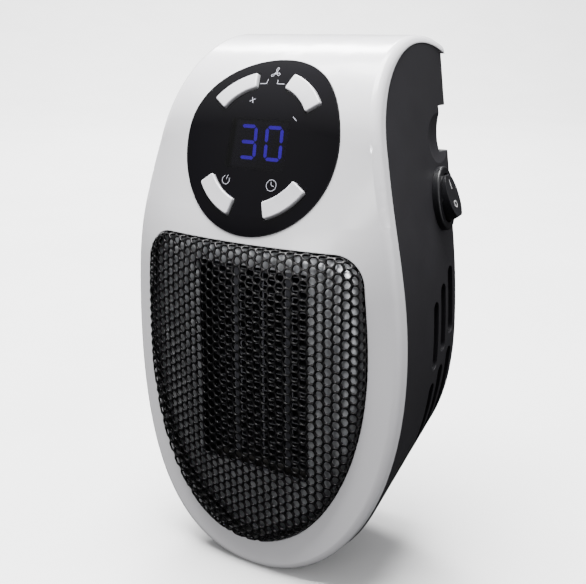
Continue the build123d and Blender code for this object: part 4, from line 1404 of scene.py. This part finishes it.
@dataclass
class Studio:
    """Pale paper bowl, soft lights and the camera at the photograph's angle."""

    floor_radius: float = 1.6
    rim_radius: float = 1.4
    camera_spot: tuple[float, float, float] = (0.18115, -0.31445, 0.03166)
    camera_pitch: float = 75.14
    camera_yaw: float = 34.64
    lens: float = 61.43
    sensor: float = 36.0
    sky_light: float = 0.8
    side_light: float = 0.05
    right_light: float = 1.1

    def camera(self) -> None:
        """Sets the camera."""
        data = bpy.data.cameras.new("camera")
        data.lens = self.lens
        data.sensor_width = self.sensor
        data.clip_start = 0.01
        data.clip_end = 20.0
        eye = bpy.data.objects.new("camera", data)
        eye.location = self.camera_spot
        eye.rotation_euler = (math.radians(self.camera_pitch), 0.0, math.radians(self.camera_yaw))
        bpy.context.scene.collection.objects.link(eye)
        bpy.context.scene.camera = eye

    def sweep(self) -> None:
        """Builds the floor with its raised edge."""
        low = -PLUG_HEIGHT * MM
        profile = [(0.0005, 0.0)]
        profile += [(self.floor_radius * s, 0.0) for s in (0.05, 0.15, 0.3, 0.5, 0.7, 0.85, 1.0)]
        for step in range(1, 13):
            angle = math.pi / 2 * step / 12
            profile.append(
                (
                    self.floor_radius + self.rim_radius * math.sin(angle),
                    self.rim_radius * (1 - math.cos(angle)),
                )
            )
        segments = 96
        points, faces = [], []
        for radius, rise in profile:
            for index in range(segments):
                angle = 2 * math.pi * index / segments
                points.append((radius * math.cos(angle), radius * math.sin(angle), low + rise))
        for ring in range(len(profile) - 1):
            for index in range(segments):
                after = (index + 1) % segments
                a, b = ring * segments, (ring + 1) * segments
                faces.append((a + index, a + after, b + after, b + index))
        floor = new_piece("studio_floor", points, faces, STUDIO_PAPER)
        floor.visible_diffuse = False
        floor.visible_glossy = False

    def light(
        self,
        name: str,
        spot: tuple[float, float, float],
        size: tuple[float, float],
        power: float,
        aim: tuple[float, float, float] = (0.0, -0.05, -0.05),
    ) -> None:
        """Adds a softbox.

        Args:
            name: The light's name.
            spot: Where it stands, in metres.
            size: Width and height in metres.
            power: Watts.
            aim: Where it points.
        """
        data = bpy.data.lights.new(name, "AREA")
        data.shape = "RECTANGLE"
        data.size, data.size_y = size
        data.energy = power
        lamp = bpy.data.objects.new(name, data)
        lamp.location = spot
        way = Vector(aim) - Vector(spot)
        lamp.rotation_euler = way.to_track_quat("-Z", "Y").to_euler()
        bpy.context.scene.collection.objects.link(lamp)

    def world(self) -> None:
        """Sets a surrounding that is pale overhead and dim all round."""
        sky = bpy.data.worlds.new("studio_air")
        sky.use_nodes = True
        tree = sky.node_tree
        tree.nodes.clear()
        way = add(tree, "ShaderNodeTexCoord").outputs["Generated"]
        axes = add(tree, "ShaderNodeSeparateXYZ", {0: way})
        level = add(
            tree,
            "ShaderNodeMapRange",
            {
                "Value": axes.outputs["Z"],
                "From Min": -0.1,
                "From Max": 0.9,
                "To Min": self.side_light,
                "To Max": self.sky_light,
            },
            interpolation_type="SMOOTHSTEP",
        )
        right = add(
            tree,
            "ShaderNodeMapRange",
            {
                "Value": axes.outputs["X"],
                "From Min": 0.72,
                "From Max": 0.95,
                "To Max": self.right_light,
            },
            interpolation_type="SMOOTHSTEP",
        )
        total = add(
            tree,
            "ShaderNodeMath",
            {0: level.outputs["Result"], 1: right.outputs["Result"]},
            operation="ADD",
        )
        back = add(
            tree,
            "ShaderNodeBackground",
            {"Color": linear("#F4F4F6"), "Strength": total.outputs["Value"]},
        )
        add(tree, "ShaderNodeOutputWorld", {"Surface": back.outputs["Background"]})
        bpy.context.scene.world = sky

    def build(self) -> list[str]:
        """Builds the floor, the lights and the camera."""
        self.camera()
        self.sweep()
        self.world()
        self.light("top_softbox", (-0.12, -0.1, 1.0), (0.75, 0.75), 54.0)
        self.light("right_softbox", (0.9, 0.12, 0.3), (0.5, 0.8), 1.5)
        self.light("front_softbox", (-0.3, -1.05, 0.03), (0.2, 0.34), 3.2)
        self.light("backdrop_softbox", (-0.9, 0.9, 1.3), (0.8, 0.8), 100.0, (-1.0, 1.6, -0.14))
        return ["camera", "studio_floor", "softboxes"]


def main() -> None:
    """Builds the sub-assemblies in order and reports each piece."""
    logging.basicConfig(level=logging.INFO, format="%(name)s: %(message)s")
    grille = PerforatedGrille(FaceForm())
    steps: Iterable[tuple[str, Callable[[], Any]]] = (
        ("studio", Studio().build),
        ("shells", Shells().build),
        ("grille", lambda: [grille.build().name]),
        ("baffle", lambda: [HeatBaffle(grille).build()]),
        ("heater core", HeaterCore().build),
        ("control panel", ControlPanel().build),
        ("rocker switch", RockerSwitch().build),
        ("screws", HousingScrews().build),
        ("fan", FanUnit().build),
        ("electronics", Electronics().build),
    )
    for title, step in steps:
        for name in step():
            log.info("%s: %s", title, name)


if __name__ == "__main__":
    main()
